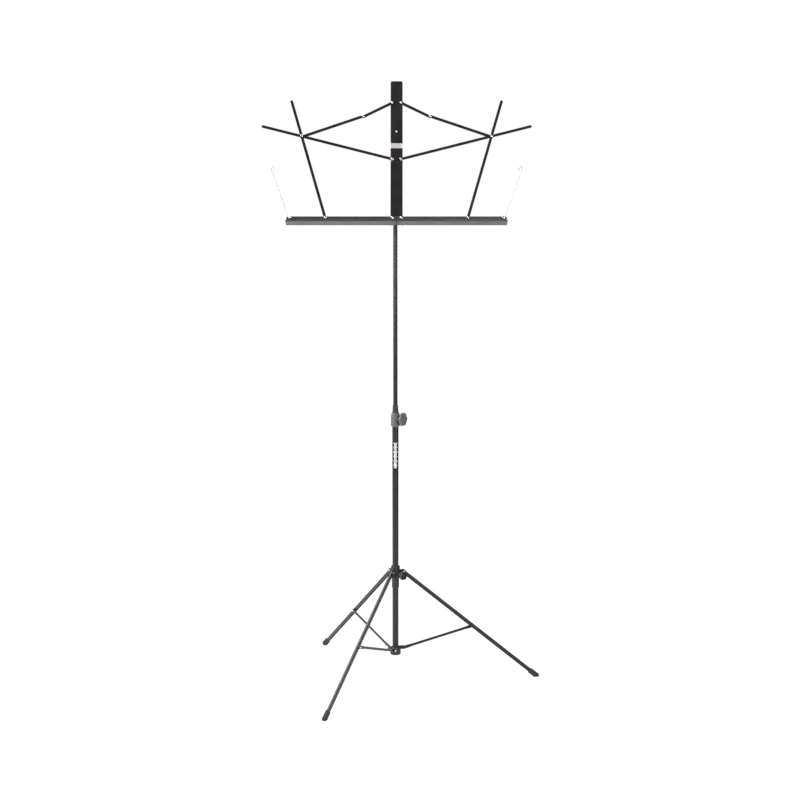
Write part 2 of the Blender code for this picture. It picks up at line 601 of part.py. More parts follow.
def build_tilt_bolt(tilt):
    half = TONGUE_THICKNESS / 2 + GAP + BRACKET_SHEET + GAP
    end = half + WING_LENGTH
    profile = [(0, -half - TILT_HEAD_HEIGHT), (TILT_HEAD_RADIUS, -half - TILT_HEAD_HEIGHT + 0.0008)]
    profile += [(TILT_HEAD_RADIUS, -half), (TILT_BOLT_RADIUS, -half), (TILT_BOLT_RADIUS, end - 0.0006)]
    profile += [(TILT_BOLT_RADIUS - 0.0006, end), (0, end)]
    place(turned("tilt_bolt", profile, BRIGHT_STEEL, 18), tilt, rotation=FACING_RIGHT)
    bore = TILT_BOLT_RADIUS + GAP
    hub = [(bore, half), (WING_HUB_RADIUS, half), (WING_HUB_RADIUS * 0.9, half + WING_HUB_LENGTH)]
    hub += [(bore, half + WING_HUB_LENGTH)]
    nut = place(turned("tilt_wing_nut", hub, BRIGHT_STEEL, 18), tilt, rotation=FACING_RIGHT)
    outline = [(bore + 0.0008, half + 0.0012), (WING_SPAN * 0.75, half + 0.0028)]
    outline += [(WING_SPAN, half + WING_LENGTH * 0.75), (WING_SPAN * 0.85, half + WING_LENGTH)]
    outline += [(bore + 0.0008, half + WING_HUB_LENGTH - 0.0006)]
    for side, turn in (("a", 0), ("b", math.pi)):
        wing = plate(f"wing_{side}", outline, [], -WING_THICKNESS / 2, WING_THICKNESS / 2, None)
        place(wing, nut, rotation=(0, 0, turn))
        combine(nut, wing, "UNION")


def rounded_top(half_width, low, high, corner):
    outline = [(-half_width, low), (half_width, low)]
    outline += arc((half_width - corner, high - corner), corner, 0, math.pi / 2, 5)
    outline += arc((corner - half_width, high - corner), corner, math.pi / 2, math.pi, 5)
    return outline


def build_channel(desk):
    half = CHANNEL_WIDTH / 2
    holes = [((0, BRACKET_RIVET_UP), HOLE_RADIUS)]
    for side in (-1, 1):
        for height in (0, ARM_RIVET_UP, LINK_RIVET_UP):
            holes.append(((side * RIVET_X, height), HOLE_RADIUS))
    outline = rounded_top(half, -CHANNEL_BELOW, CHANNEL_TOP, CHANNEL_CORNER)
    channel = plate("back_channel", outline, holes, -CHANNEL_WALL, 0, CHANNEL_PAINT)
    place(channel, desk)
    for name, side in (("left", -1), ("right", 1)):
        near = side * (half - CHANNEL_WALL)
        low = (min(near, side * half), CHANNEL_WALL / 2, -CHANNEL_BELOW)
        high = (max(near, side * half), CHANNEL_DEPTH, CHANNEL_TOP - CHANNEL_CORNER)
        flange = place(block(f"flange_{name}", low, high, None), desk)
        combine(channel, flange, "UNION")
    outside = half + GAP
    far = outside + STRAP_SHEET
    reach = CHANNEL_DEPTH - GAP
    section = [(-far, -GAP - STRAP_SHEET), (far, -GAP - STRAP_SHEET), (far, reach), (outside, reach)]
    section += [(outside, -GAP), (-outside, -GAP), (-outside, reach), (-far, reach)]
    shape = bmesh.new()
    face = shape.faces.new([shape.verts.new((x, y, STRAP_UP - STRAP_HEIGHT / 2)) for x, y in section])
    grown = bmesh.ops.extrude_face_region(shape, geom=[face])
    moved = [item for item in grown["geom"] if isinstance(item, bmesh.types.BMVert)]
    bmesh.ops.translate(shape, verts=moved, vec=(0, 0, STRAP_HEIGHT))
    place(finish_mesh("channel_strap", shape, PLATED_STRAP, False), desk)


def build_bracket(desk):
    """Bent sheet behind the channel: a riveted strip and two ears that hold the tilt bolt."""
    front = CHANNEL_WALL + GAP
    back = front + BRACKET_SHEET
    top = BRACKET_RIVET_UP + 0.008
    hole = [((0, BRACKET_RIVET_UP), HOLE_RADIUS)]
    outline = rounded_top(BRACKET_HALF_WIDTH, TILT_UP - 0.020, top, 0.003)
    bracket = plate("desk_bracket", outline, hole, -back, -front, BLACK_PAINT)
    place(bracket, desk)
    bolt_hole = [((TILT_BACK, TILT_UP), TILT_BOLT_RADIUS + GAP)]
    tip = arc((TILT_BACK, TILT_UP), BRACKET_EAR_RADIUS, -math.pi / 2, math.pi / 2, 10)
    root = front + BRACKET_SHEET / 2
    low_corner = (root, TILT_UP - BRACKET_EAR_RADIUS)
    ear = tip + [(root, TILT_UP + BRACKET_EAR_RADIUS), low_corner]
    near = TONGUE_THICKNESS / 2 + GAP
    for name, start in (("left", -near - BRACKET_SHEET), ("right", near)):
        side = plate(f"bracket_{name}", ear, bolt_hole, -start - BRACKET_SHEET, -start, None)
        place(side, desk, rotation=(0, 0, math.pi / 2))
        combine(bracket, side, "UNION")
    tail = -back - GAP - HEAD_HEIGHT
    profile = rivet_profile([(PIN_RADIUS, -back - GAP, GAP)], GAP, tail, SMALL_HEAD_RADIUS)
    rivet = turned("bracket_rivet", profile, BRIGHT_STEEL, SMALL_STEPS)
    place(rivet, desk, (0, 0, BRACKET_RIVET_UP), FACING_FRONT)


def build_channel_rivets(desk, name, side):
    """Three rivets on one side of the channel, each with its own standing height."""
    tail = -CHANNEL_WALL - GAP - HEAD_HEIGHT
    base = -CHANNEL_WALL - GAP
    link_face = INNER_LINK_BACK + ARM_THICKNESS + GAP
    arm_face = LONG_ARM_BACK + ARM_THICKNESS + GAP
    tray_face = TRAY_FACE + GAP
    stacks = [("link_rivet", LINK_RIVET_UP, 0, link_face)]
    stacks.append(("arm_rivet", ARM_RIVET_UP, LONG_ARM_BACK, arm_face))
    stacks.append(("tray_rivet", 0, TRAY_BACK, tray_face))
    for title, height, seat, head in stacks:
        stations = [(PIN_RADIUS, base, head)]
        if seat:
            stations = [(PIN_RADIUS, base, GAP), (HEAD_RADIUS, GAP, seat - GAP)]
            stations.append((PIN_RADIUS, seat - GAP, head))
        rivet = turned(f"{title}_{name}", rivet_profile(stations, head, tail), BRIGHT_STEEL, SMALL_STEPS)
        place(rivet, desk, (side * RIVET_X, 0, height), FACING_FRONT)


def strip(title, length, holes_at, back, pivot, angle, side, desk, beyond=0.0):
    """Flat folding strip with its first hole on its joint; side -1 is the mirror image."""
    outline = stadium(-beyond, length, ARM_WIDTH)
    holes = [((along, 0), HOLE_RADIUS) for along in holes_at]
    made = plate(title, outline, holes, back, back + ARM_THICKNESS, BLACK_PAINT)
    turn = angle if side > 0 else math.pi - angle
    return place(made, desk, (side * pivot.x, 0, pivot.y), (0, -turn, 0))


def build_arms(desk, name, side):
    cap = ARM_WIDTH / 2
    strip(f"long_arm_{name}", LONG_ARM_LENGTH - cap, (0, LONG_ARM_TO_CROSS), LONG_ARM_BACK,
          ARM_RIVET, LONG_ARM_ANGLE, side, desk)
    strip(f"side_arm_{name}", SIDE_ARM_BEYOND - cap, (0, -SIDE_ARM_TO_CROSS), SIDE_ARM_BACK,
          CROSS_RIVET, SIDE_ARM_ANGLE, side, desk, SIDE_ARM_TO_CROSS)
    strip(f"inner_link_{name}", INNER_LINK, (0, INNER_LINK), INNER_LINK_BACK,
          LINK_RIVET, INNER_LINK_ANGLE, side, desk)
    strip(f"outer_link_{name}", 0, (0, -OUTER_LINK), OUTER_LINK_BACK,
          CROSS_RIVET, OUTER_LINK_ANGLE, side, desk, OUTER_LINK)
    head = SIDE_ARM_BACK + ARM_THICKNESS + GAP
    tail = OUTER_LINK_BACK - GAP
    profile = rivet_profile([(PIN_RADIUS, tail, head)], head, tail - HEAD_HEIGHT)
    cross = turned(f"cross_rivet_{name}", profile, BRIGHT_STEEL, SMALL_STEPS)
    place(cross, desk, (side * CROSS_RIVET.x, 0, CROSS_RIVET.y), FACING_FRONT)
    head = OUTER_LINK_BACK + ARM_THICKNESS + GAP
    tail = OUTER_LINK_BACK - GAP
    washer = INNER_LINK_BACK + ARM_THICKNESS + GAP
    profile = [(0, washer), (HEAD_RADIUS, washer), (HEAD_RADIUS, tail)]
    profile += rivet_profile([(PIN_RADIUS, tail, head)], head)[1:]
    knee = turned(f"knee_rivet_{name}", profile, BRIGHT_STEEL, SMALL_STEPS)
    place(knee, desk, (side * KNEE_RIVET.x, 0, KNEE_RIVET.y), FACING_FRONT)


def build_tray(desk, name, side):
    """Half of the tray: a J-shaped sheet with its back in the plane of the desk."""
    top = TRAY_BACK_ABOVE
    bottom = -TRAY_BACK_BELOW
    sole = bottom + TRAY_SHEET
    lip_face = TRAY_BACK + TRAY_LEDGE
    lip_back = lip_face - TRAY_SHEET
    section = [(-TRAY_BACK, top), (-TRAY_FACE, top), (-TRAY_FACE, sole), (-lip_back, sole)]
    section += [(-lip_back, bottom + TRAY_LIP), (-lip_face, bottom + TRAY_LIP)]
    section += [(-lip_face, bottom), (-TRAY_BACK, bottom)]
    inner_end = side * (0.0005 - RIVET_X)
    outer_end = side * TRAY_HALF_LENGTH
    start = min(inner_end, outer_end)
    end = max(inner_end, outer_end)
    tray = extruded(f"tray_{name}", section, start, end, TRAY_PAINT)
    place(tray, desk, (side * RIVET_X, 0, 0))
    middle = -(TRAY_BACK + TRAY_FACE) / 2
    for title, along in (("pivot", 0), ("side_arm", TRAY_TO_RIVET), ("retainer", RETAINER_RIVET)):
        location = (side * along, middle, 0)
        drill(tray, f"{title}_{name}", HOLE_RADIUS, tray, location, FACING_FRONT, 2 * TRAY_SHEET)
    head = TRAY_FACE + GAP
    profile = rivet_profile([(PIN_RADIUS, TRAY_BACK, head)], head)
    rivet = turned(f"side_arm_rivet_{name}", profile, BRIGHT_STEEL, SMALL_STEPS)
    place(rivet, tray, (side * TRAY_TO_RIVET, 0, 0), FACING_FRONT)
    head = WIRE_FRONT + GAP
    stations = [(PIN_RADIUS, TRAY_BACK, TRAY_FACE + GAP), (HEAD_RADIUS, TRAY_FACE + GAP, WIRE_BACK - GAP)]
    stations.append((PIN_RADIUS, WIRE_BACK - GAP, head))
    rivet = turned(f"retainer_rivet_{name}", rivet_profile(stations, head), BRIGHT_STEEL, SMALL_STEPS)
    place(rivet, tray, (side * RETAINER_RIVET, 0, 0), FACING_FRONT)
    build_retainer(desk, name, side)


def build_retainer(desk, name, side):
    """Spring wire with an eye round its rivet, a straight stem and a hairpin at the tip."""
    stem_top = RETAINER_LENGTH - RETAINER_LOOP
    points = [(x, z) for x, z in arc((0, 0), RETAINER_EYE, math.radians(40), math.radians(360), 14)]
    points += [(RETAINER_EYE, stem_top * fraction) for fraction in (0.25, 0.5, 0.75)]
    points += arc((RETAINER_EYE - RETAINER_LOOP, stem_top), RETAINER_LOOP, 0, math.pi, 8)
    points += [(RETAINER_EYE - 2 * RETAINER_LOOP, stem_top - RETAINER_HOOK)]
    path = bpy.data.curves.new(f"page_retainer_{name}", "CURVE")
    path.dimensions = "3D"
    path.bevel_depth = RETAINER_WIRE
    path.bevel_resolution = 2
    path.use_fill_caps = True
    wire = path.splines.new("POLY")
    wire.points.add(len(points) - 1)
    for point, (x, z) in zip(wire.points, points):
        point.co = (side * x, 0, z, 1)
    kind, colour, roughness, metallic = SPRING_WIRE
    path.materials.append(material(f"page_retainer_{name}_{kind}", colour, roughness, metallic))
    made = bpy.data.objects.new(f"page_retainer_{name}", path)
    bpy.context.collection.objects.link(made)
    depth = -(WIRE_BACK + WIRE_FRONT) / 2
    place(made, desk, (side * (RIVET_X + RETAINER_RIVET), depth, 0), (0, side * RETAINER_LEAN, 0))


def build_desk():
    tilt = empty("tilt_axis", stand, (DESK_OFFSET, 0, TILT_AXIS_HEIGHT), (-DESK_LEAN, 0, 0))
    build_tilt_bolt(tilt)
    desk = empty("desk_frame", tilt, (0, -TILT_BACK, -TILT_UP))
    build_channel(desk)
    build_bracket(desk)
    for name, side in (("left", -1), ("right", 1)):
        build_channel_rivets(desk, name, side)
        build_arms(desk, name, side)
        build_tray(desk, name, side)


def centre_footprint():
    """Shift the stand so that the origin is the bottom centre of its bounding box."""
    bpy.context.view_layer.update()
    shown = bpy.context.evaluated_depsgraph_get()
    corners = []
    for item in bpy.context.scene.objects:
        if item.type in {"MESH", "CURVE"} and not item.hide_render:
            body = item.evaluated_get(shown)
            mesh = body.to_mesh()
            corners += [item.matrix_world @ vertex.co for vertex in mesh.vertices]
            body.to_mesh_clear()
    for axis in (0, 1):
        values = [corner[axis] for corner in corners]
        stand.location[axis] = -(min(values) + max(values)) / 2


build_pole()
build_hub()
build_collar()
build_legs()
build_struts()
build_clamp()
build_tilt_head()
build_desk()
centre_footprint()
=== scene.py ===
"""Looks of the folding wire music stand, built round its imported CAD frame.

Each detailed piece stands for one CAD node. Its place, axis and size come from that node's own
extent and from the record's joints. Lengths are in metres and +Z is up. Inside the desk X runs
across, Z runs up the leaning channel and -Y points at the reader.
"""
import json
import math

import bmesh
import bpy
from mathutils import Matrix, Vector


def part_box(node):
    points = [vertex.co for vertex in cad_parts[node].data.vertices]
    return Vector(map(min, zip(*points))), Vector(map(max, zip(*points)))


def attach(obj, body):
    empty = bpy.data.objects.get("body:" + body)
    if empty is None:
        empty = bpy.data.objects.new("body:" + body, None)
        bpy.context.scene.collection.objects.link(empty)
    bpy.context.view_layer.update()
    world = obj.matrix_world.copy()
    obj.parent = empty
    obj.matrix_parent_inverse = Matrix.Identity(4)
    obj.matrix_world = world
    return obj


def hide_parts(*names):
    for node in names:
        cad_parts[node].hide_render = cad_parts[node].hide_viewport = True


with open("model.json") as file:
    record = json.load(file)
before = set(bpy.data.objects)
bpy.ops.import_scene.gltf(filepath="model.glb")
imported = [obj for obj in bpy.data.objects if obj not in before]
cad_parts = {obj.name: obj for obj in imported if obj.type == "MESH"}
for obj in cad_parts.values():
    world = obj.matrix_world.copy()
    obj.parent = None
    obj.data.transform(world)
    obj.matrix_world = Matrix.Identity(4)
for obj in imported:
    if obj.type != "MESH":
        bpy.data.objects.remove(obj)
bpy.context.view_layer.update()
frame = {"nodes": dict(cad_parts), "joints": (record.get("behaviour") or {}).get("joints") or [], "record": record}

# --- sizes that the frame doesn't give ----------------------------------------------------
GAP = 0.0003                    # between two surfaces that touch
TUBE_STEPS = 72
SMALL_STEPS = 40
SHEET_EDGE = 0.00025            # softened edge of cut sheet
LEG_SHEET = 0.0010
LEG_BEND = 0.0017
EAR_RADIUS = 0.0050
EAR_THICKNESS = 0.0016
EAR_SKIRT = 0.0140
COLLAR_WALL = 0.0030
COLLAR_SKIRT_WALL = 0.0011
COLLAR_STEP = 0.0155            # thick part and thin skirt end this far below the leg pivots
LUG_THICKNESS = 0.0025
LUG_RADIUS = 0.0042
BOSS_RADIUS = 0.0055
STRUT_WAIST = 0.78              # width of a strut's middle, as a share of its ends
BOOT_RIBS = 4
BOOT_RIB_DEPTH = 0.00045
CHANNEL_SHEET = 0.0012
CHANNEL_BEND = 0.0020
CHANNEL_CORNER = 0.0040
STRAP_SHEET = 0.0008
TRAY_SHEET = 0.0012
TRAY_BEND = 0.0022
TRAY_LIP = 0.0045
TRAY_CORNER = 0.0035
WIRE_EYE = 0.0027
WIRE_LOOP = 0.0030
WIRE_HOOK = 0.0080
KNOB_LOBES = 6
KNOB_RIBS = 18
BUSH_SLITS = 4
TONGUE_RADIUS = 0.0068
TONGUE_THICKNESS = 0.0050
WING_THICKNESS = 0.0022
SMOOTH_ANGLE = math.radians(38)
TICK_COUNT = 23
TICK_PITCH = 0.0026
TICK_HALF = 0.00075             # half the height of one mark
TICK_LONG_EVERY = 4
TICK_DROP = 0.0380              # first mark below the clamp

# --- stage and camera -------------------------------------------------------------------
FLOOR_RADIUS = 14.0
FLOOR_DROP = 0.0005
FLOOR_GLOW = 1.0                # added only where the camera sees the floor
FLOOR_LIT = (0.80, 0.80, 0.80)  # colour that lights the stand
FLOOR_SEEN = (0.06, 0.06, 0.06)
WORLD_LIGHT = 0.15              # surround as the stand sees it
WORLD_SEEN = 1.0                # surround as the camera sees it
CAMERA_SENSOR_MM = 36.0
CAMERA_LENS_MM = 68.0
CAMERA_RIGHT = 0.0106
CAMERA_BACK = 3.4552
CAMERA_HEIGHT = 1.0917
CAMERA_DOWN = 0.1238            # radians below level

RECORD = frame["record"]
NODES = frame["nodes"]
JOINTS = {joint["name"]: joint for joint in frame["joints"]}
BODY = {node: body for body, nodes in RECORD["behaviour"]["bodies"].items() for node in nodes}
SLOT = {row["node"]: row["material_slot"] for row in RECORD["subparts"]}
SIDES = (("left", -1), ("right", 1))
LEGS = (1, 2, 3)
UP = Vector((0, 0, 1))
FULL_TURN = 2 * math.pi


# --- local frames -------------------------------------------------------------------------
def axes(origin, across, ahead):
    """Frame at a point whose X and Y run along two directions at right angles."""
    across = Vector(across).normalized()
    ahead = Vector(ahead).normalized()
    made = Matrix((across, ahead, across.cross(ahead))).transposed().to_4x4()
    made.translation = origin
    return made


def around(origin, axis):
    """Frame whose Z runs along an axis."""
    axis = Vector(axis).normalized()
    across = UP.cross(axis) if abs(axis.z) < 0.9 else Vector((1, 0, 0))
    across = (across - axis * across.dot(axis)).normalized()
    return axes(origin, across, axis.cross(across))


def joint_at(name):
    return Vector(JOINTS[name]["pos_m"])


def joint_axis(name):
    return Vector(JOINTS[name]["axis"]).normalized()


def middle(node):
    low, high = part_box(node)
    return (low + high) / 2


def local_points(node, where):
    back = where.inverted()
    return [back @ vertex.co for vertex in NODES[node].data.vertices]


def extent(node, where):
    """Lowest and highest corner of a CAD node in a local frame."""
    points = local_points(node, where)
    low = Vector([min(point[axis] for point in points) for axis in range(3)])
    high = Vector([max(point[axis] for point in points) for axis in range(3)])
    return low, high


def reach(node, where):
    """Smallest and largest distance of a CAD node's corners from a local Z axis."""
    spans = [math.hypot(point.x, point.y) for point in local_points(node, where)]
    return min(spans), max(spans)


def turned_outline(node, where):
    """(radius, height) outline of a turned CAD node, from its low end to its high end."""
    levels = {}
    for point in local_points(node, where):
        radius = round(math.hypot(point.x, point.y), 5)
        levels.setdefault(round(point.z, 5), set()).add(radius)
    outline = [(0.0, min(levels))]
    for height in sorted(levels):
        last = outline[-1][0]
        radii = sorted(levels[height], key=lambda radius: abs(radius - last))
        for radius in (radii[0], radii[-1]):
            step = math.hypot(radius - outline[-1][0], height - outline[-1][1])
            if step > 0.00004:
                outline.append((radius, height))
    if outline[-1][0] > 0:
        outline.append((0.0, outline[-1][1]))
    return outline


POLE_TOP = joint_at("mast_swivel")
POLE = axes((POLE_TOP.x, POLE_TOP.y, 0), (1, 0, 0), (0, 1, 0))
READER = joint_axis("tray_right_fold")
DESK = axes((joint_at("tray_left_fold") + joint_at("tray_right_fold")) / 2, (1, 0, 0), -READER)


def desk_point(node):
    """Middle of a CAD node in the desk's plane, as (across, up)."""
    point = DESK.inverted() @ middle(node)
    return Vector((point.x, point.z))


def desk_line(first, second):
    """Frame in the desk's plane at one point, with X towards another."""
    step = second - first
    across = DESK.to_3x3() @ Vector((step.x, 0, step.y))
    return axes(DESK @ Vector((first.x, 0, first.y)), across, -READER)


def radial_frame(joint):
    """Frame at a leg's or strut's pivot: X out from the pole, Z up."""
    pivot = joint_at(joint)
    out = Vector((pivot.x - POLE_TOP.x, pivot.y - POLE_TOP.y, 0)).normalized()
    return axes(pivot, out, UP.cross(out))


def sloping_frame(number, joint):
    """Frame at the same pivot with X along the leg or strut, towards their shared rivet."""
    level = radial_frame(joint)
    aim = middle(f"strut_rivet_{number}") - level.translation
    side = level.to_3x3() @ Vector((0, 1, 0))
    return axes(level.translation, aim - side * aim.dot(side), side)


# --- outlines -----------------------------------------------------------------------------
def rounded(points, radius, closed=True, steps=5):
    """Corners of a 2D line rounded off; a point's third value is a radius of its own."""
    made = []
    for index, point in enumerate(points):
        corner = Vector(point[:2])
        size = point[2] if len(point) > 2 else radius
        before = Vector(points[index - 1][:2]) - corner
        after = Vector(points[(index + 1) % len(points)][:2]) - corner
        tip = not closed and index in (0, len(points) - 1)
        if tip or size <= 0 or before.angle(after) > math.radians(176):
            made.append(corner)
            continue
        cut = size / math.tan(before.angle(after) / 2)
        cut = min(cut, 0.49 * before.length, 0.49 * after.length)
        start = corner + before.normalized() * cut
        end = corner + after.normalized() * cut
        for step in range(steps + 1):
            part = step / steps
            made.append(start.lerp(corner, part).lerp(corner.lerp(end, part), part))
    return made


def arc(centre, radius, start, end, steps):
    points = []
    for step in range(steps + 1):
        turn = start + (end - start) * step / steps
        points.append(Vector((centre[0] + radius * math.cos(turn), centre[1] + radius * math.sin(turn))))
    return points


def dense(path, step):
    """The same line with long stretches divided."""
    made = [path[0]]
    for first, second in zip(path, path[1:]):
        parts = max(1, math.ceil((second - first).length / step))
        made += [first.lerp(second, part / parts) for part in range(1, parts + 1)]
    return made


def offset(path, distance):
    """An open line moved to its left."""
    made = []
    for index, point in enumerate(path):
        before = (point - path[max(index - 1, 0)]).normalized()
        after = (path[min(index + 1, len(path) - 1)] - point).normalized()
        along = (before + after).normalized()
        made.append(point + Vector((-along.y, along.x)) * distance)
    return made


def corner_cut(inside, radius):
    """How far a rounded corner pulls an end back, at a distance in from the side."""
    missing = max(0.0, radius - inside)
    return radius - math.sqrt(max(0.0, radius ** 2 - missing ** 2))


# --- skins --------------------------------------------------------------------------------
def loft(rings, looped=False):
    """Skin over rings of points; a ring of one point is a tip."""
    shape = bmesh.new()
    loops = [[shape.verts.new(point) for point in ring] for ring in rings]
    pairs = list(zip(loops, loops[1:]))
    if looped:
        pairs.append((loops[-1], loops[0]))
    for low, high in pairs:
        count = max(len(low), len(high))
        for index in range(count):
            after = (index + 1) % count
            corners = [low[index % len(low)], low[after % len(low)]]
            corners += [high[after % len(high)], high[index % len(high)]]
            shape.faces.new(list(dict.fromkeys(corners)))
    if not looped:
        for end in (loops[0], loops[-1]):
            if len(end) > 1:
                shape.faces.new(end)
    return shape


def turned(outline, steps=SMALL_STEPS, form=None, looped=False):
    """Skin turned about Z; form(radius, height, turn) may shape each ring as it goes round."""
    rings = []
    for radius, height in outline:
        if radius < 1e-6:
            rings.append([Vector((0, 0, height))])
            continue
        ring = []
        for step in range(steps):
            turn = FULL_TURN * step / steps
            wide, high = form(radius, height, turn) if form else (radius, height)
            ring.append(Vector((wide * math.cos(turn), wide * math.sin(turn), high)))
        rings.append(ring)
    return loft(rings, looped)


def plate(outline, low, high):
    """Flat sheet in the XZ plane between two depths along Y."""
    return loft([[Vector((x, depth, z)) for x, z in outline] for depth in (low, high)])


def folded_sheet(path, thickness, ends, along):
    """Sheet bent along an open line. It is thickened to the line's left, and ends(point) gives
    where it starts and stops along the X or Z axis."""
    rings = []
    for outer, inner in zip(path, offset(path, thickness)):
        start, stop = ends(outer)
        ring = []
        for (first, second), height in ((outer, start), (outer, stop), (inner, stop), (inner, start)):
            spot = (height, first, second) if along == "X" else (first, second, height)
            ring.append(Vector(spot))
        rings.append(ring)
    return loft(rings)


def sweep(path, radius, sides=16):
    """Round wire along a line in the XZ plane, with rounded tips."""
    rings = []
    count = len(path)
    for index, point in enumerate(path):
        before = (point - path[max(index - 1, 0)]).normalized()
        after = (path[min(index + 1, count - 1)] - point).normalized()
        along = (before + after).normalized()
        side = Vector((-along.y, along.x))
        tips = [(0.0, 1.0)]
        if index == 0:
            tips = [(-0.8, 0.45), (-0.5, 0.85), (0.0, 1.0)]
        elif index == count - 1:
            tips = [(0.0, 1.0), (0.5, 0.85), (0.8, 0.45)]
        for forward, scale in tips:
            ring = []
            for step in range(sides):
                turn = FULL_TURN * step / sides
                spot = point + along * forward * radius + side * radius * scale * math.cos(turn)
                ring.append(Vector((spot.x, radius * scale * math.sin(turn), spot.y)))
            rings.append(ring)
    return loft(rings)


def stadium(start, end, half):
    """Outline of a straight strip along X with round ends."""
    outline = arc((end, 0), half, -math.pi / 2, math.pi / 2, 14)
    return outline + arc((start, 0), half, math.pi / 2, 3 * math.pi / 2, 14)


# --- materials ----------------------------------------------------------------------------
def make(tree, kind, inputs=(), **settings):
    """Shader node of one kind; inputs are (name, value or socket) pairs."""
    node = tree.nodes.new(f"ShaderNode{kind}")
    for key, value in settings.items():
        setattr(node, key, value)
    for key, value in inputs:
        if isinstance(value, bpy.types.NodeSocket):
            tree.links.new(value, node.inputs[key])
        else:
            node.inputs[key].default_value = value
    return node


def start_material(name, metallic, specular=0.5):
    made = bpy.data.materials.new(name)
    made.use_nodes = True
    tree = made.node_tree
    shader = tree.nodes["Principled BSDF"]
    shader.inputs["Metallic"].default_value = metallic
    shader.inputs["Specular IOR Level"].default_value = specular
    place = make(tree, "TexCoord").outputs["Object"]
    return made, tree, shader, place


def stretched(tree, place, scale):
    return make(tree, "Mapping", [("Vector", place), ("Scale", scale)]).outputs["Vector"]


def noise(tree, place, scale, detail=3.0):
    return make(tree, "TexNoise", [("Vector", place), ("Scale", scale), ("Detail", detail)]).outputs["Fac"]


def spread(tree, value, low, high, to_low=0.0, to_high=1.0):
    """The value's range from low to high, stretched onto another range."""
    inputs = [("Value", value), ("From Min", low), ("From Max", high)]
    inputs += [("To Min", to_low), ("To Max", to_high)]
    return make(tree, "MapRange", inputs).outputs["Result"]


def product(tree, first, second):
    return make(tree, "Math", [(0, first), (1, second)], operation="MULTIPLY").outputs[0]


def blend(tree, factor, first, second):
    inputs = [(0, factor)]
    for slot, colour in ((6, first), (7, second)):
        inputs.append((slot, colour if isinstance(colour, bpy.types.NodeSocket) else (*colour, 1.0)))
    return make(tree, "Mix", inputs, data_type="RGBA").outputs[2]


def edge_mask(tree, radius):
    """1 along sharp edges of the surface and 0 away from them."""
    soft = make(tree, "Bevel", [("Radius", radius)], samples=4).outputs["Normal"]
    true = make(tree, "NewGeometry").outputs["Normal"]
    facing = make(tree, "VectorMath", [(0, soft), (1, true)], operation="DOT_PRODUCT").outputs["Value"]
    return spread(tree, facing, 0.985, 0.90)


def bump(tree, shader, height, strength, distance):
    inputs = [("Height", height), ("Strength", strength), ("Distance", distance)]
    tree.links.new(make(tree, "Bump", inputs).outputs["Normal"], shader.inputs["Normal"])


def shade(colour, amount):
    return tuple(channel * amount for channel in colour)


def powder_coat(name, colour, roughness, specular, worn_colour):
    """Sprayed enamel: orange peel, cloudy gloss, dust specks and edges worn paler."""
    made, tree, shader, place = start_material(name, 0.0, specular)
    peel = noise(tree, place, 950.0, 2.0)
    cloud = noise(tree, place, 34.0, 4.0)
    specks = spread(tree, noise(tree, place, 2600.0, 1.0), 0.70, 0.76)
    patches = spread(tree, noise(tree, place, 420.0, 5.0), 0.50, 0.66)
    pale_edges = product(tree, edge_mask(tree, 0.0005), patches)
    base = blend(tree, cloud, shade(colour, 0.72), shade(colour, 1.30))
    base = blend(tree, product(tree, specks, 0.35), base, shade(worn_colour, 0.6))
    base = blend(tree, product(tree, pale_edges, 0.45), base, worn_colour)
    tree.links.new(base, shader.inputs["Base Color"])
    gloss = spread(tree, cloud, 0.25, 0.75, roughness - 0.07, roughness + 0.09)
    tree.links.new(gloss, shader.inputs["Roughness"])
    bump(tree, shader, peel, 0.30, 0.00010)
    return made


def moulded_plastic(name, colour, roughness, specular):
    """Injection moulding: spark-eroded grain, faint flow streaks and edges painted paler, partly wear from rubbing
    and partly a painted highlight.
    """
    made, tree, shader, place = start_material(name, 0.0, specular)
    grain = noise(tree, place, 3200.0, 3.0)
    flow = noise(tree, stretched(tree, place, (1.0, 1.0, 0.25)), 160.0, 4.0)
    pale_edges = edge_mask(tree, 0.0007)
    base = blend(tree, flow, shade(colour, 0.75), shade(colour, 1.28))
    # every edge painted paler: partly wear from rubbing, partly a painted highlight along the rims
    base = blend(tree, product(tree, pale_edges, 0.45), base, shade(colour, 2.6))
    tree.links.new(base, shader.inputs["Base Color"])
    gloss = spread(tree, flow, 0.3, 0.7, roughness - 0.05, roughness + 0.08)
    tree.links.new(gloss, shader.inputs["Roughness"])
    bump(tree, shader, grain, 0.45, 0.00018)
    return made


def rubber(name, colour, roughness):
    """Matt rubber with bloom in its pores and pale dust on its edges."""
    made, tree, shader, place = start_material(name, 0.0, 0.30)
    pores = noise(tree, place, 1900.0, 5.0)
    bloom = noise(tree, place, 110.0, 5.0)
    dusty = product(tree, edge_mask(tree, 0.0010), spread(tree, noise(tree, place, 600.0, 4.0), 0.42, 0.66))
    base = blend(tree, bloom, shade(colour, 0.8), shade(colour, 1.7))
    base = blend(tree, product(tree, dusty, 0.5), base, (0.11, 0.105, 0.10))
    tree.links.new(base, shader.inputs["Base Color"])
    gloss = spread(tree, bloom, 0.3, 0.7, roughness - 0.08, roughness + 0.1)
    tree.links.new(gloss, shader.inputs["Roughness"])
    bump(tree, shader, pores, 0.6, 0.00025)
    return made


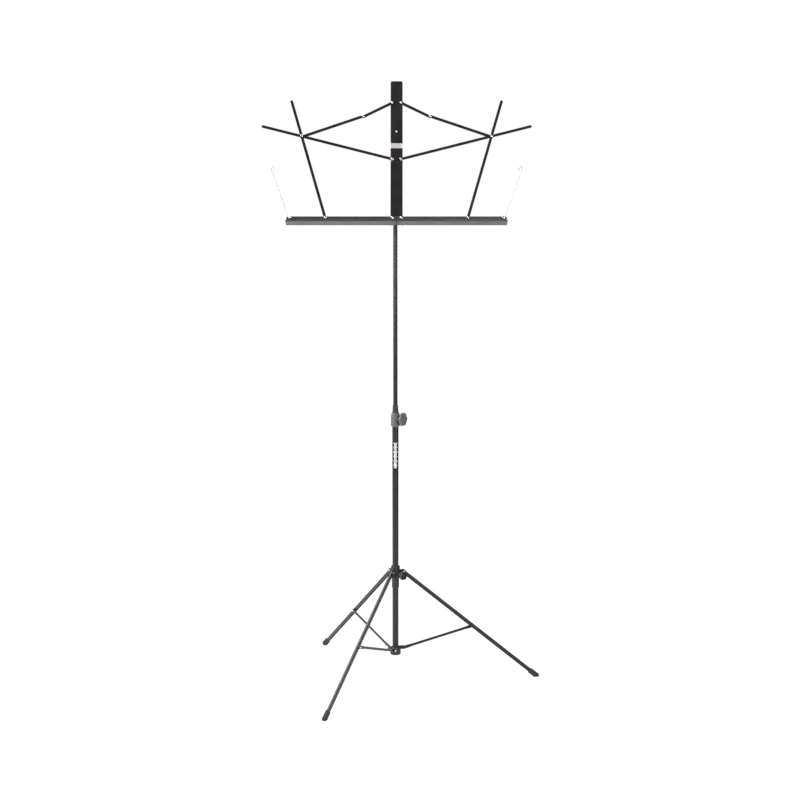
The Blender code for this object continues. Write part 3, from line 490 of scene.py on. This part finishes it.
def bare_metal(name, colour, tint, roughness, grain_stretch, grain_scale, relief):
    """Plated metal: fine lines along one direction, clouded gloss and dull spots."""
    made, tree, shader, place = start_material(name, 1.0)
    lines = noise(tree, stretched(tree, place, grain_stretch), grain_scale, 3.0)
    cloud = noise(tree, place, 240.0, 4.0)
    dull = spread(tree, noise(tree, place, 700.0, 5.0), 0.60, 0.72)
    base = blend(tree, cloud, colour, tint)
    base = blend(tree, product(tree, dull, 0.35), base, shade(colour, 0.55))
    tree.links.new(base, shader.inputs["Base Color"])
    gloss = spread(tree, lines, 0.25, 0.75, roughness - 0.08, roughness + 0.12)
    tree.links.new(gloss, shader.inputs["Roughness"])
    bump(tree, shader, lines, relief, 0.00012)
    return made


def printed_ink(name, colour):
    """Screen-printed ink, thin in places."""
    made, tree, shader, place = start_material(name, 0.0, 0.4)
    thin = spread(tree, noise(tree, place, 1500.0, 5.0), 0.35, 0.75)
    tree.links.new(blend(tree, thin, colour, shade(colour, 0.55)), shader.inputs["Base Color"])
    tree.links.new(spread(tree, thin, 0.0, 1.0, 0.5, 0.65), shader.inputs["Roughness"])
    bump(tree, shader, noise(tree, place, 2400.0, 2.0), 0.3, 0.0001)
    return made


SCRATCHED = (1.0, 1.0, 9.0)
ACROSS_STRAP = (0.03, 1.0, 1.0)
ALONG_WIRE = (1.0, 1.0, 0.04)
LOOKS = {
    "black_paint": powder_coat(
        "black_enamel", (0.0050, 0.0050, 0.0052), 0.32, 0.26, (0.050, 0.048, 0.046)),
    "channel_paint": powder_coat(
        "channel_enamel", (0.0048, 0.0043, 0.0043), 0.42, 0.18, (0.040, 0.037, 0.036)),
    "tray_paint": powder_coat(
        "tray_enamel", (0.014, 0.014, 0.015), 0.42, 0.45, (0.070, 0.069, 0.068)),
    "grey_plastic": moulded_plastic("grey_moulding", (0.046, 0.046, 0.049), 0.50, 0.45),
    "black_plastic": moulded_plastic("black_moulding", (0.008, 0.008, 0.0085), 0.48, 0.28),
    "black_rubber": rubber("foot_rubber", (0.012, 0.012, 0.012), 0.78),
    "bright_steel": bare_metal(
        "zinc_plate", (0.62, 0.61, 0.59), (0.52, 0.53, 0.55), 0.26, SCRATCHED, 900.0, 0.15),
    "plated_strap": bare_metal(
        "brushed_plate", (0.72, 0.69, 0.68), (0.60, 0.58, 0.58), 0.38, ACROSS_STRAP, 2600.0, 0.3),
    "spring_wire": bare_metal(
        "drawn_wire", (0.36, 0.36, 0.37), (0.26, 0.26, 0.28), 0.26, ALONG_WIRE, 2600.0, 0.25),
}
INK = printed_ink("white_ink", (0.62, 0.62, 0.61))


# --- pieces -------------------------------------------------------------------------------
def piece(name, shape, where, node, edge=0.0, look=None, stands=True):
    """Object from a skin in a local frame. It rides with a CAD node and may stand for it."""
    bmesh.ops.remove_doubles(shape, verts=shape.verts, dist=1e-7)
    bmesh.ops.recalc_face_normals(shape, faces=shape.faces)
    mesh = bpy.data.meshes.new(name)
    shape.to_mesh(mesh)
    shape.free()
    mesh.shade_smooth()
    mesh.set_sharp_from_angle(angle=SMOOTH_ANGLE)
    made = bpy.data.objects.new(name, mesh)
    bpy.context.scene.collection.objects.link(made)
    made.matrix_world = where
    if edge:
        soften = made.modifiers.new("soft_edges", "BEVEL")
        soften.width = edge
        soften.segments = 2
        soften.limit_method = "ANGLE"
        soften.angle_limit = SMOOTH_ANGLE
        soften.harden_normals = True
    if look:
        mesh.materials.append(look)
    else:
        mesh.materials.append(LOOKS[SLOT[node]])
    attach(made, BODY[node])
    if stands:
        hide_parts(node)
    return made


def refined(node, where, fillet=0.0004, steps=SMALL_STEPS, form=None):
    """Finely turned copy of a turned CAD node, its corners rounded."""
    outline = rounded(turned_outline(node, where), fillet, closed=False, steps=4)
    return piece(f"{node}_detail", turned(outline, steps, form), where, node)


def hexagonal(start, stop):
    """Shaping that makes a turned piece six-sided between two heights."""
    def form(radius, height, turn):
        if not start <= height <= stop or radius < 0.004:
            return radius, height
        from_flat = (turn % (math.pi / 3)) - math.pi / 6
        return min(radius, 0.92 * radius / math.cos(from_flat)), height
    return form


def build_tubes():
    for node in ("lower_tube", "upper_tube"):
        bore, radius = reach(node, POLE)
        low, high = extent(node, POLE)
        lip = 0.0006
        outline = [(bore, low.z), (radius, low.z, lip), (radius, high.z, lip), (bore, high.z)]
        skin = turned(rounded(outline, 0.0002), TUBE_STEPS, looped=True)
        piece(f"{node}_detail", skin, POLE, node)
    NODES["mast_guide_plug"].data.materials.clear()
    NODES["mast_guide_plug"].data.materials.append(LOOKS["black_plastic"])


def build_scale():
    """White height marks down the reader's side of the lower tube."""
    radius = reach("lower_tube", POLE)[1]
    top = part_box("mast_clamp")[0].z - TICK_DROP
    facing = -math.pi / 2
    for number in range(TICK_COUNT):
        long_mark = number % TICK_LONG_EVERY == 0
        half = math.radians(40 if long_mark else 24)
        height = top - number * TICK_PITCH
        path = arc((0, 0), radius + 0.00006, facing - half, facing + half, 12)
        skin = folded_sheet(path, 0.0002, lambda point: (height - TICK_HALF, height + TICK_HALF), "Z")
        piece(f"height_mark_{number + 1}", skin, POLE, "lower_tube", look=INK, stands=False)


def build_clamp():
    low, high = extent("mast_clamp", POLE)
    bore = reach("mast_clamp", POLE)[0]
    wide = -low.x
    top = high.z
    bottom = low.z
    edge = wide - 0.0020
    outline = [(bore, bottom), (edge, bottom, 0.0003), (wide, bottom + 0.0022, 0.0008)]
    outline += [(wide, bottom + 0.0060), (wide - 0.0004, bottom + 0.0064), (wide - 0.0004, bottom + 0.0074)]
    outline += [(wide, bottom + 0.0078), (wide, top - 0.0052, 0.0006), (wide - 0.0009, top - 0.0044)]
    outline += [(wide - 0.0009, top - 0.0020, 0.0006), (edge, top, 0.0003), (bore, top)]
    screw = joint_axis("clamp_knob_turn")
    facing = math.atan2(screw.y, screw.x)

    def seam(radius, height, turn):
        away = math.cos(2 * (turn - facing))
        proud = 0.00022 if away < -0.994 and radius > wide - 0.0012 else 0.0
        return radius + proud, height

    skin = turned(rounded(outline, 0.0002, steps=3), 96, seam, looped=True)
    piece("mast_clamp_detail", skin, POLE, "mast_clamp")
    build_bush()
    for node, joint in (("mast_clamp_knob", "clamp_knob_turn"), ("collar_knob", "collar_knob_turn")):
        build_knob(node, joint)
    build_boss("mast_clamp", "mast_clamp_knob", "clamp_knob_turn", wide)


def build_bush():
    """Split collet above the clamp, tapering onto the upper tube."""
    low, high = extent("mast_bushing", POLE)
    bore = reach("mast_bushing", POLE)[0]
    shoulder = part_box("mast_clamp")[1].z + GAP
    tube = reach("lower_tube", POLE)[1]
    outline = [(bore, low.z), (tube, low.z), (tube, shoulder + 0.0015, 0.0004)]
    outline += [(tube - 0.0003, shoulder + 0.0022), (bore + 0.0008, high.z - 0.0010, 0.0005)]
    outline += [(bore + 0.0004, high.z), (bore, high.z)]
    path = rounded(outline, 0.0002)

    def slits(radius, height, turn):
        on_slit = abs(math.sin(BUSH_SLITS / 2 * turn)) < 0.06
        above = shoulder + 0.0026 < height < high.z - 0.0002
        return (radius - 0.0004 if on_slit and above and radius > bore + 0.0006 else radius), height

    dense_path = dense(path + [path[0]], 0.0015)[:-1]
    piece("mast_bushing_detail", turned(dense_path, 96, slits, looped=True), POLE, "mast_bushing")


def build_boss(node, screw_node, joint, body_radius):
    """Threaded boss between a round body and its thumb screw."""
    where = around(joint_at(joint), joint_axis(joint))
    seat = turned_outline(screw_node, where)[2][1] - GAP
    outline = [(0, body_radius - 0.0020), (BOSS_RADIUS + 0.0012, body_radius - 0.0020)]
    outline += [(BOSS_RADIUS, body_radius + 0.0010, 0.0012), (BOSS_RADIUS, seat, 0.0005)]
    outline += [(BOSS_RADIUS - 0.0016, seat), (BOSS_RADIUS - 0.0022, seat - 0.0007), (0, seat - 0.0007)]
    skin = turned(rounded(outline, 0.0003, closed=False), SMALL_STEPS)
    piece(f"{node}_boss", skin, where, node, stands=False)


def build_knob(node, joint):
    """Lobed thumb screw with a ribbed face inside a plain rim."""
    where = around(joint_at(joint), joint_axis(joint))
    cad = turned_outline(node, where)
    tip, seat, top = cad[0][1], cad[2][1], cad[-1][1]
    shank = cad[1][0]
    wide = max(radius for radius, height in cad)
    tall = top - seat
    outline = [(0, tip), (shank - 0.0004, tip), (shank, tip + 0.0005), (shank, seat)]
    outline += [(0.50 * wide, seat), (0.56 * wide, seat + 0.07 * tall), (0.60 * wide, seat + 0.24 * tall)]
    outline += [(0.90 * wide, seat + 0.30 * tall), (wide, seat + 0.42 * tall), (wide, seat + 0.78 * tall)]
    outline += [(0.95 * wide, seat + 0.95 * tall), (0.87 * wide, top), (0.80 * wide, top)]
    outline += [(0.76 * wide, top - 0.14 * tall), (0.60 * wide, top - 0.14 * tall)]
    outline += [(0.42 * wide, top - 0.14 * tall), (0.38 * wide, top - 0.02 * tall)]
    outline += [(0.30 * wide, top - 0.02 * tall), (0.24 * wide, top - 0.07 * tall), (0, top - 0.07 * tall)]

    def form(radius, height, turn):
        outer = max(0.0, min(1.0, (radius / wide - 0.62) / 0.2))
        radius *= 1 - 0.11 * outer * (0.5 - 0.5 * math.cos(KNOB_LOBES * turn))
        ribbed = 0.44 * wide < radius < 0.74 * wide and height > seat + 0.6 * tall
        if ribbed and math.cos(KNOB_RIBS * turn) > 0:
            height += 0.11 * tall
        return radius, height

    path = rounded(outline, 0.0004, closed=False, steps=3)
    piece(f"{node}_detail", turned(path, 144, form), where, node)


def build_collar():
    bore = reach("leg_collar", POLE)[0]
    low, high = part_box("leg_collar")
    wide = bore + COLLAR_WALL
    skirt = bore + COLLAR_SKIRT_WALL
    step = joint_at("leg_1_fold").z - COLLAR_STEP
    ring = 0.0005
    groove = skirt - 0.0003
    outline = [(bore, low.z), (skirt, low.z, 0.0003), (skirt, low.z + 0.0030)]
    outline += [(groove, low.z + 0.0034), (groove, low.z + 0.0044), (skirt, low.z + 0.0048)]
    outline.append((skirt, step - 0.0010))
    outline += [(wide, step + 0.0010, 0.0006), (wide, high.z - 0.0068), (wide - ring, high.z - 0.0062)]
    outline += [(wide - ring, high.z - 0.0054), (wide, high.z - 0.0048), (wide, high.z - 0.0016, 0.0008)]
    outline += [(wide - 0.0014, high.z, 0.0004), (bore, high.z)]
    skin = turned(rounded(outline, 0.0003, steps=3), TUBE_STEPS, looped=True)
    piece("leg_collar_detail", skin, POLE, "leg_collar")
    build_boss("leg_collar", "collar_knob", "collar_knob_turn", wide)
    for number in LEGS:
        level = radial_frame(f"leg_{number}_fold")
        half = extent(f"leg_{number}", level)[1].y
        pivot = (level.translation - POLE_TOP).xy.length
        root = wide - 0.0015 - pivot
        outline = arc((0, 0), EAR_RADIUS, -math.pi / 3, math.pi / 2, 16)
        outline += [Vector((root, EAR_RADIUS)), Vector((root, -EAR_SKIRT))]
        for side, name in ((1, "a"), (-1, "b")):
            near = side * (half + GAP)
            far = near + side * EAR_THICKNESS
            skin = plate(outline, near, far)
            piece(f"collar_ear_{number}{name}", skin, level, "leg_collar", edge=0.0004, stands=False)


def build_hub():
    low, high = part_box("base_hub")
    lug_middle = joint_at("strut_1_fold").z
    bore = reach("lower_tube", POLE)[1] + GAP
    wide = bore + 0.0050
    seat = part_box("lower_tube")[0].z - GAP
    outline = [(0, low.z + 0.0012), (wide - 0.0050, low.z + 0.0012), (wide - 0.0040, low.z)]
    outline += [(wide - 0.0015, low.z), (wide, low.z + 0.0015, 0.0012), (wide, lug_middle - 0.0020)]
    groove = wide - 0.0005
    outline += [(groove, lug_middle - 0.0015), (groove, lug_middle + 0.0015), (wide, lug_middle + 0.0020)]
    outline += [(wide, high.z - 0.0045, 0.0012), (wide - 0.0030, high.z, 0.0006), (bore, high.z)]
    outline += [(bore, seat), (0, seat)]
    piece("base_hub_detail", turned(rounded(outline, 0.0003, closed=False), TUBE_STEPS), POLE, "base_hub")
    for number in LEGS:
        level = radial_frame(f"strut_{number}_fold")
        near = extent(f"strut_{number}", level)[1].y + GAP
        pivot = (level.translation - POLE_TOP).xy.length
        root = wide / 2 - pivot
        outline = arc((0, 0), LUG_RADIUS, -math.pi / 2, math.pi / 2, 16)
        outline += [Vector((root, LUG_RADIUS)), Vector((root, -LUG_RADIUS))]
        skin = plate(outline, near, near + LUG_THICKNESS)
        piece(f"hub_lug_{number}", skin, level, "base_hub", 0.0005, stands=False)


def build_legs():
    for number in LEGS:
        joint = f"leg_{number}_fold"
        where = sloping_frame(number, joint)
        node = f"leg_{number}"
        low, high = extent(node, where)
        path = [(high.y, low.z), (high.y, high.z, LEG_BEND), (low.y, high.z, LEG_BEND), (low.y, low.z)]
        path = dense(rounded(path, 0, closed=False, steps=6), 0.0010)

        def ends(point):
            return low.x + corner_cut(high.z - point[1], 0.0030), high.x

        skin = folded_sheet(path, LEG_SHEET, ends, "X")
        piece(f"{node}_detail", skin, where, node, SHEET_EDGE)
        build_boot(f"leg_foot_{number}", where)
        refined(f"leg_pin_{number}", around(joint_at(joint), joint_axis(joint)))


def build_boot(node, where):
    """Rubber boot: ribbed sleeve, thick toe and a sole cut level with the floor."""
    low, high = extent(node, where)
    half = Vector((high.y, high.z))
    length = high.x - low.x
    toe = length * 0.42
    stations = [(0.0, -0.0007), (0.0004, -0.0001), (0.0022, 0.0), (0.0030, -BOOT_RIB_DEPTH)]
    pitch = (length - toe - 0.0034) / BOOT_RIBS
    for rib in range(BOOT_RIBS):
        start = 0.0034 + rib * pitch
        stations += [(start, -BOOT_RIB_DEPTH), (start + 0.3 * pitch, -0.00005)]
        stations += [(start + 0.6 * pitch, -0.00005), (start + 0.9 * pitch, -BOOT_RIB_DEPTH)]
    stations += [(length - toe + 0.0006, 0.0), (length - 0.0030, 0.0), (length - 0.0010, -0.0006)]
    stations += [(length - 0.0003, -0.0014), (length, -0.0028)]
    rings = []
    for along, grow in stations:
        wide = half.x + grow
        deep = half.y + grow
        square = [(wide, deep), (-wide, deep), (-wide, -deep), (wide, -deep)]
        rings.append([Vector((low.x + along, y, z)) for y, z in rounded(square, 0.0018, steps=6)])
    shape = loft(rings)
    floor_point = where.inverted() @ Vector((0, 0, 0))
    floor_up = where.to_3x3().inverted() @ UP
    cut = bmesh.ops.bisect_plane(shape, geom=shape.verts[:] + shape.edges[:] + shape.faces[:],
                                 plane_co=floor_point, plane_no=floor_up, clear_inner=True)
    rim = [item for item in cut["geom_cut"] if isinstance(item, bmesh.types.BMEdge)]
    bmesh.ops.holes_fill(shape, edges=rim)
    piece(f"{node}_detail", shape, where, node)


def build_struts():
    for number in LEGS:
        joint = f"strut_{number}_fold"
        where = sloping_frame(number, joint)
        node = f"strut_{number}"
        low, high = extent(node, where)
        half = high.z
        length = high.x - half
        upper = []
        for step in range(41):
            along = length * step / 40
            from_end = min(along, length - along)
            ease = max(0.0, min(1.0, (from_end - 0.008) / 0.016))
            narrow = 1 - (1 - STRUT_WAIST) * ease * ease * (3 - 2 * ease)
            upper.append(Vector((along, half * narrow)))
        lower = [Vector((point.x, -point.y)) for point in upper]
        outline = lower[1:-1] + arc((length, 0), half, -math.pi / 2, math.pi / 2, 12)
        outline += upper[-2:0:-1] + arc((0, 0), half, math.pi / 2, 3 * math.pi / 2, 12)
        piece(f"{node}_detail", plate(outline, low.y, high.y), where, node, 0.0006)
        refined(f"strut_pin_{number}", around(joint_at(joint), joint_axis(joint)))
        refined(f"strut_rivet_{number}", around(middle(f"strut_rivet_{number}"), joint_axis(joint)))


def build_tilt():
    axis = around(joint_at("desk_tilt"), (1, 0, 0))
    where = axes((POLE_TOP.x, POLE_TOP.y, joint_at("desk_tilt").z), (1, 0, 0), (0, 1, 0))
    low = extent("tilt_head", where)[0]
    radius = -low.y
    tube = reach("upper_tube", POLE)[1] + GAP
    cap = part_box("upper_tube")[1].z + GAP + 0.0030 - where.translation.z
    inside = cap - 0.0030
    outline = [(0, inside), (tube, inside), (tube, low.z), (radius, low.z, 0.0005)]
    outline += [(radius, low.z + 0.0050), (radius - 0.0004, low.z + 0.0056)]
    outline += [(radius - 0.0004, cap - 0.0060), (radius, cap - 0.0054), (radius, cap - 0.0012, 0.0006)]
    outline += [(radius - 0.0010, cap, 0.0004), (0, cap)]
    skin = turned(rounded(outline, 0.0003, closed=False), TUBE_STEPS)
    piece("tilt_head_detail", skin, where, "tilt_head")
    offset_x = joint_at("desk_tilt").x - POLE_TOP.x
    side_view = axes(where @ Vector((offset_x, 0, 0)), (0, 1, 0), (-1, 0, 0))
    crown = arc((0, 0), TONGUE_RADIUS, 0, math.pi, 24)
    outline = crown + [Vector((-TONGUE_RADIUS, cap - 0.0010)), Vector((TONGUE_RADIUS, cap - 0.0010))]
    skin = plate(outline, -TONGUE_THICKNESS / 2, TONGUE_THICKNESS / 2)
    piece("tilt_tongue", skin, side_view, "tilt_head", edge=0.0005, stands=False)
    bolt = turned_outline("tilt_bolt", axis)
    refined("tilt_bolt", axis, 0.0003, 96, hexagonal(bolt[0][1], bolt[0][1] + 0.0036))
    build_wing_nut(axis)


def build_wing_nut(where):
    low, high = extent("tilt_wing_nut", where)
    bore, span = reach("tilt_wing_nut", where)
    hub = bore + 0.0017
    crown = low.z + 0.0050
    outline = [(bore, low.z), (hub, low.z, 0.0003), (hub * 0.92, crown, 0.0005), (bore, crown)]
    skin = turned(rounded(outline, 0.0002), SMALL_STEPS, looped=True)
    piece("tilt_wing_nut_detail", skin, where, "tilt_wing_nut")
    for name, turn in (("a", 0), ("b", math.pi)):
        rings = []
        for step in range(15):
            part = step / 14
            out = hub * 0.75 + (span - hub * 0.75) * part
            rise = low.z + 0.0020 + (high.z - low.z - 0.0048) * part ** 1.5
            tall = 0.0016 + 0.0012 * math.sin(math.pi * (0.25 + 0.62 * part))
            thick = WING_THICKNESS / 2 * (1 - 0.35 * part)
            close = math.sqrt(max(0.02, 1 - max(0.0, (part - 0.72) / 0.28) ** 2))
            ring = []
            for spot in range(20):
                angle = FULL_TURN * spot / 20
                side = thick * close * math.cos(angle)
                ring.append(Vector((out, side, rise + tall * close * math.sin(angle))))
            rings.append(ring)
        turned_frame = where @ Matrix.Rotation(turn, 4, "Z")
        piece(f"wing_{name}", loft(rings), turned_frame, "tilt_wing_nut", stands=False)


def build_channel():
    low, high = extent("back_channel", DESK)
    top = high.z
    path = [(low.x, high.y), (low.x, low.y, CHANNEL_BEND), (high.x, low.y, CHANNEL_BEND), (high.x, high.y)]
    path = dense(rounded(path, 0, closed=False, steps=6), 0.0008)

    def ends(point):
        inside = min(point[0] - low.x, high.x - point[0])
        return low.z, top - corner_cut(inside, CHANNEL_CORNER)

    skin = folded_sheet(path, CHANNEL_SHEET, ends, "Z")
    piece("back_channel_detail", skin, DESK, "back_channel", SHEET_EDGE)
    low, high = extent("channel_strap", DESK)
    path = [(low.x, high.y), (low.x, low.y, 0.0026), (high.x, low.y, 0.0026), (high.x, high.y)]
    path = dense(rounded(path, 0, closed=False, steps=8), 0.0010)
    skin = folded_sheet(path, STRAP_SHEET, lambda point: (low.z, high.z), "Z")
    piece("channel_strap_detail", skin, DESK, "channel_strap", SHEET_EDGE)
    bracket = NODES["desk_bracket"]
    bracket.data.materials.clear()
    bracket.data.materials.append(LOOKS["black_paint"])
    soften = bracket.modifiers.new("soft_edges", "BEVEL")
    soften.width = SHEET_EDGE
    soften.segments = 2
    soften.limit_method = "ANGLE"
    refined("bracket_rivet", around(middle("bracket_rivet"), READER), 0.0006)


def build_strip(name, first, second):
    """Folding strip from one rivet towards another."""
    where = desk_line(desk_point(first), desk_point(second))
    low, high = extent(name, where)
    half = (high.z - low.z) / 2
    outline = stadium(low.x + half, high.x - half, half)
    piece(f"{name}_detail", plate(outline, low.y, high.y), where, name, 0.0004)


def build_tray(name, side):
    node = f"tray_{name}"
    low, high = extent(node, DESK)
    path = [(high.y, high.z), (high.y, low.z, TRAY_BEND), (low.y, low.z, TRAY_BEND)]
    path.append((low.y, low.z + TRAY_LIP))
    path = dense(rounded(path, 0, closed=False, steps=7), 0.0006)
    path.reverse()

    def ends(point):
        to_top = high.z - point[1] if point[0] > (low.y + high.y) / 2 else low.z + TRAY_LIP - point[1]
        on_sole = point[1] < low.z + 0.0002
        pull = 0.0 if on_sole else corner_cut(max(0.0, to_top), TRAY_CORNER)
        if side > 0:
            return low.x, high.x - pull
        return low.x + pull, high.x

    skin = folded_sheet(path, TRAY_SHEET, ends, "X")
    piece(f"{node}_detail", skin, DESK, node, SHEET_EDGE)


def build_retainer(name, side):
    node = f"page_retainer_{name}"
    pivot = joint_at(f"page_retainer_{name}_turn")
    depth = (DESK.inverted() @ middle(node)).y
    level = axes(pivot + DESK.to_3x3() @ Vector((0, depth, 0)), (1, 0, 0), -READER)
    tip = max(local_points(node, level), key=lambda point: point.length)
    length = math.hypot(tip.x, tip.z)
    low, high = extent(node, level)
    radius = (high.y - low.y) / 2
    stand = level.to_3x3() @ Vector((tip.x, 0, tip.z)).normalized()
    across = (-READER).cross(stand)
    where = axes(level.translation, across, -READER)
    stem_top = length - WIRE_LOOP
    path = arc((0, 0), WIRE_EYE, math.radians(40), math.radians(360), 40)
    path += [Vector((WIRE_EYE, stem_top * step / 24)) for step in range(1, 24)]
    path += arc((WIRE_EYE - WIRE_LOOP, stem_top), WIRE_LOOP, 0, math.pi, 24)
    hook = WIRE_EYE - 2 * WIRE_LOOP
    path += [Vector((hook + 0.0004 * step / 4, stem_top - WIRE_HOOK * step / 4)) for step in range(1, 5)]
    path = [Vector((side * point.x, point.y)) for point in path]
    piece(f"{node}_detail", sweep(path, radius), where, node)


def build_desk():
    build_channel()
    for name, side in SIDES:
        build_strip(f"long_arm_{name}", f"arm_rivet_{name}", f"cross_rivet_{name}")
        build_strip(f"side_arm_{name}", f"side_arm_rivet_{name}", f"cross_rivet_{name}")
        build_strip(f"inner_link_{name}", f"link_rivet_{name}", f"knee_rivet_{name}")
        build_strip(f"outer_link_{name}", f"knee_rivet_{name}", f"cross_rivet_{name}")
        build_tray(name, side)
        build_retainer(name, side)
        for title in ("tray", "arm", "link", "cross", "knee", "side_arm", "retainer"):
            node = f"{title}_rivet_{name}"
            refined(node, around(middle(node), READER), 0.0006)


# --- stage, lights and camera -------------------------------------------------------------
def build_stage():
    """White floor and surround. They look brighter to the camera than the light they give the
    stand, so the ground reads as blank while the stand stays dark."""
    shape = bmesh.new()
    bmesh.ops.create_circle(shape, cap_ends=True, segments=96, radius=FLOOR_RADIUS)
    mesh = bpy.data.meshes.new("studio_floor")
    shape.to_mesh(mesh)
    shape.free()
    floor = bpy.data.objects.new("studio_floor", mesh)
    floor.location = (0, 0, -FLOOR_DROP)
    bpy.context.scene.collection.objects.link(floor)
    made = bpy.data.materials.new("pale_floor")
    made.use_nodes = True
    tree = made.node_tree
    shader = tree.nodes["Principled BSDF"]
    shader.inputs["Roughness"].default_value = 0.9
    shader.inputs["Specular IOR Level"].default_value = 0.0
    shader.inputs["Emission Color"].default_value = (1.0, 1.0, 1.0, 1.0)
    seen = make(tree, "LightPath").outputs["Is Camera Ray"]
    tree.links.new(blend(tree, seen, FLOOR_LIT, FLOOR_SEEN), shader.inputs["Base Color"])
    tree.links.new(product(tree, seen, FLOOR_GLOW), shader.inputs["Emission Strength"])
    mesh.materials.append(made)
    world = bpy.data.worlds.new("white_surround")
    world.use_nodes = True
    tree = world.node_tree
    ground = tree.nodes["Background"]
    seen = make(tree, "LightPath").outputs["Is Camera Ray"]
    ground.inputs["Color"].default_value = (1.0, 1.0, 1.0, 1.0)
    tree.links.new(spread(tree, seen, 0.0, 1.0, WORLD_LIGHT, WORLD_SEEN), ground.inputs["Strength"])
    bpy.context.scene.world = world
    bpy.context.scene.view_settings.view_transform = "Standard"


def softbox(name, place, aim, width, height, power):
    """Rectangular studio light aimed at a point."""
    data = bpy.data.lights.new(name, "AREA")
    data.shape = "RECTANGLE"
    data.size = width
    data.size_y = height
    data.energy = power
    made = bpy.data.objects.new(name, data)
    bpy.context.scene.collection.objects.link(made)
    made.location = place
    made.rotation_mode = "QUATERNION"
    made.rotation_quaternion = (Vector(aim) - Vector(place)).to_track_quat("-Z", "Y")


def build_lights():
    softbox("key_softbox", (1.35, -2.30, 1.60), (0, 0, 0.90), 0.40, 2.2, 110)
    softbox("fill_softbox", (-2.4, -1.4, 1.30), (0, 0, 0.80), 1.2, 2.0, 25)
    softbox("top_softbox", (-1.3, 0.3, 3.00), (-0.1, -0.1, 0.20), 2.0, 2.0, 150)
    softbox("side_softbox", (-1.7, -0.6, 1.10), (-0.18, -0.05, 0.15), 0.9, 0.9, 45)
    softbox("rim_softbox", (1.2, 2.4, 1.60), (0, 0, 0.90), 0.8, 2.0, 30)


def build_camera():
    """Eye level with the desk, looking slightly down."""
    data = bpy.data.cameras.new("camera")
    data.sensor_width = CAMERA_SENSOR_MM
    data.lens = CAMERA_LENS_MM
    data.clip_end = 60.0
    camera = bpy.data.objects.new("camera", data)
    bpy.context.scene.collection.objects.link(camera)
    camera.location = (POLE_TOP.x + CAMERA_RIGHT, POLE_TOP.y - CAMERA_BACK, CAMERA_HEIGHT)
    camera.rotation_euler = (math.pi / 2 - CAMERA_DOWN, 0, 0)
    bpy.context.scene.camera = camera


build_camera()
build_stage()
build_lights()
build_tubes()
build_scale()
build_clamp()
build_collar()
build_hub()
build_legs()
build_struts()
build_tilt()
build_desk()
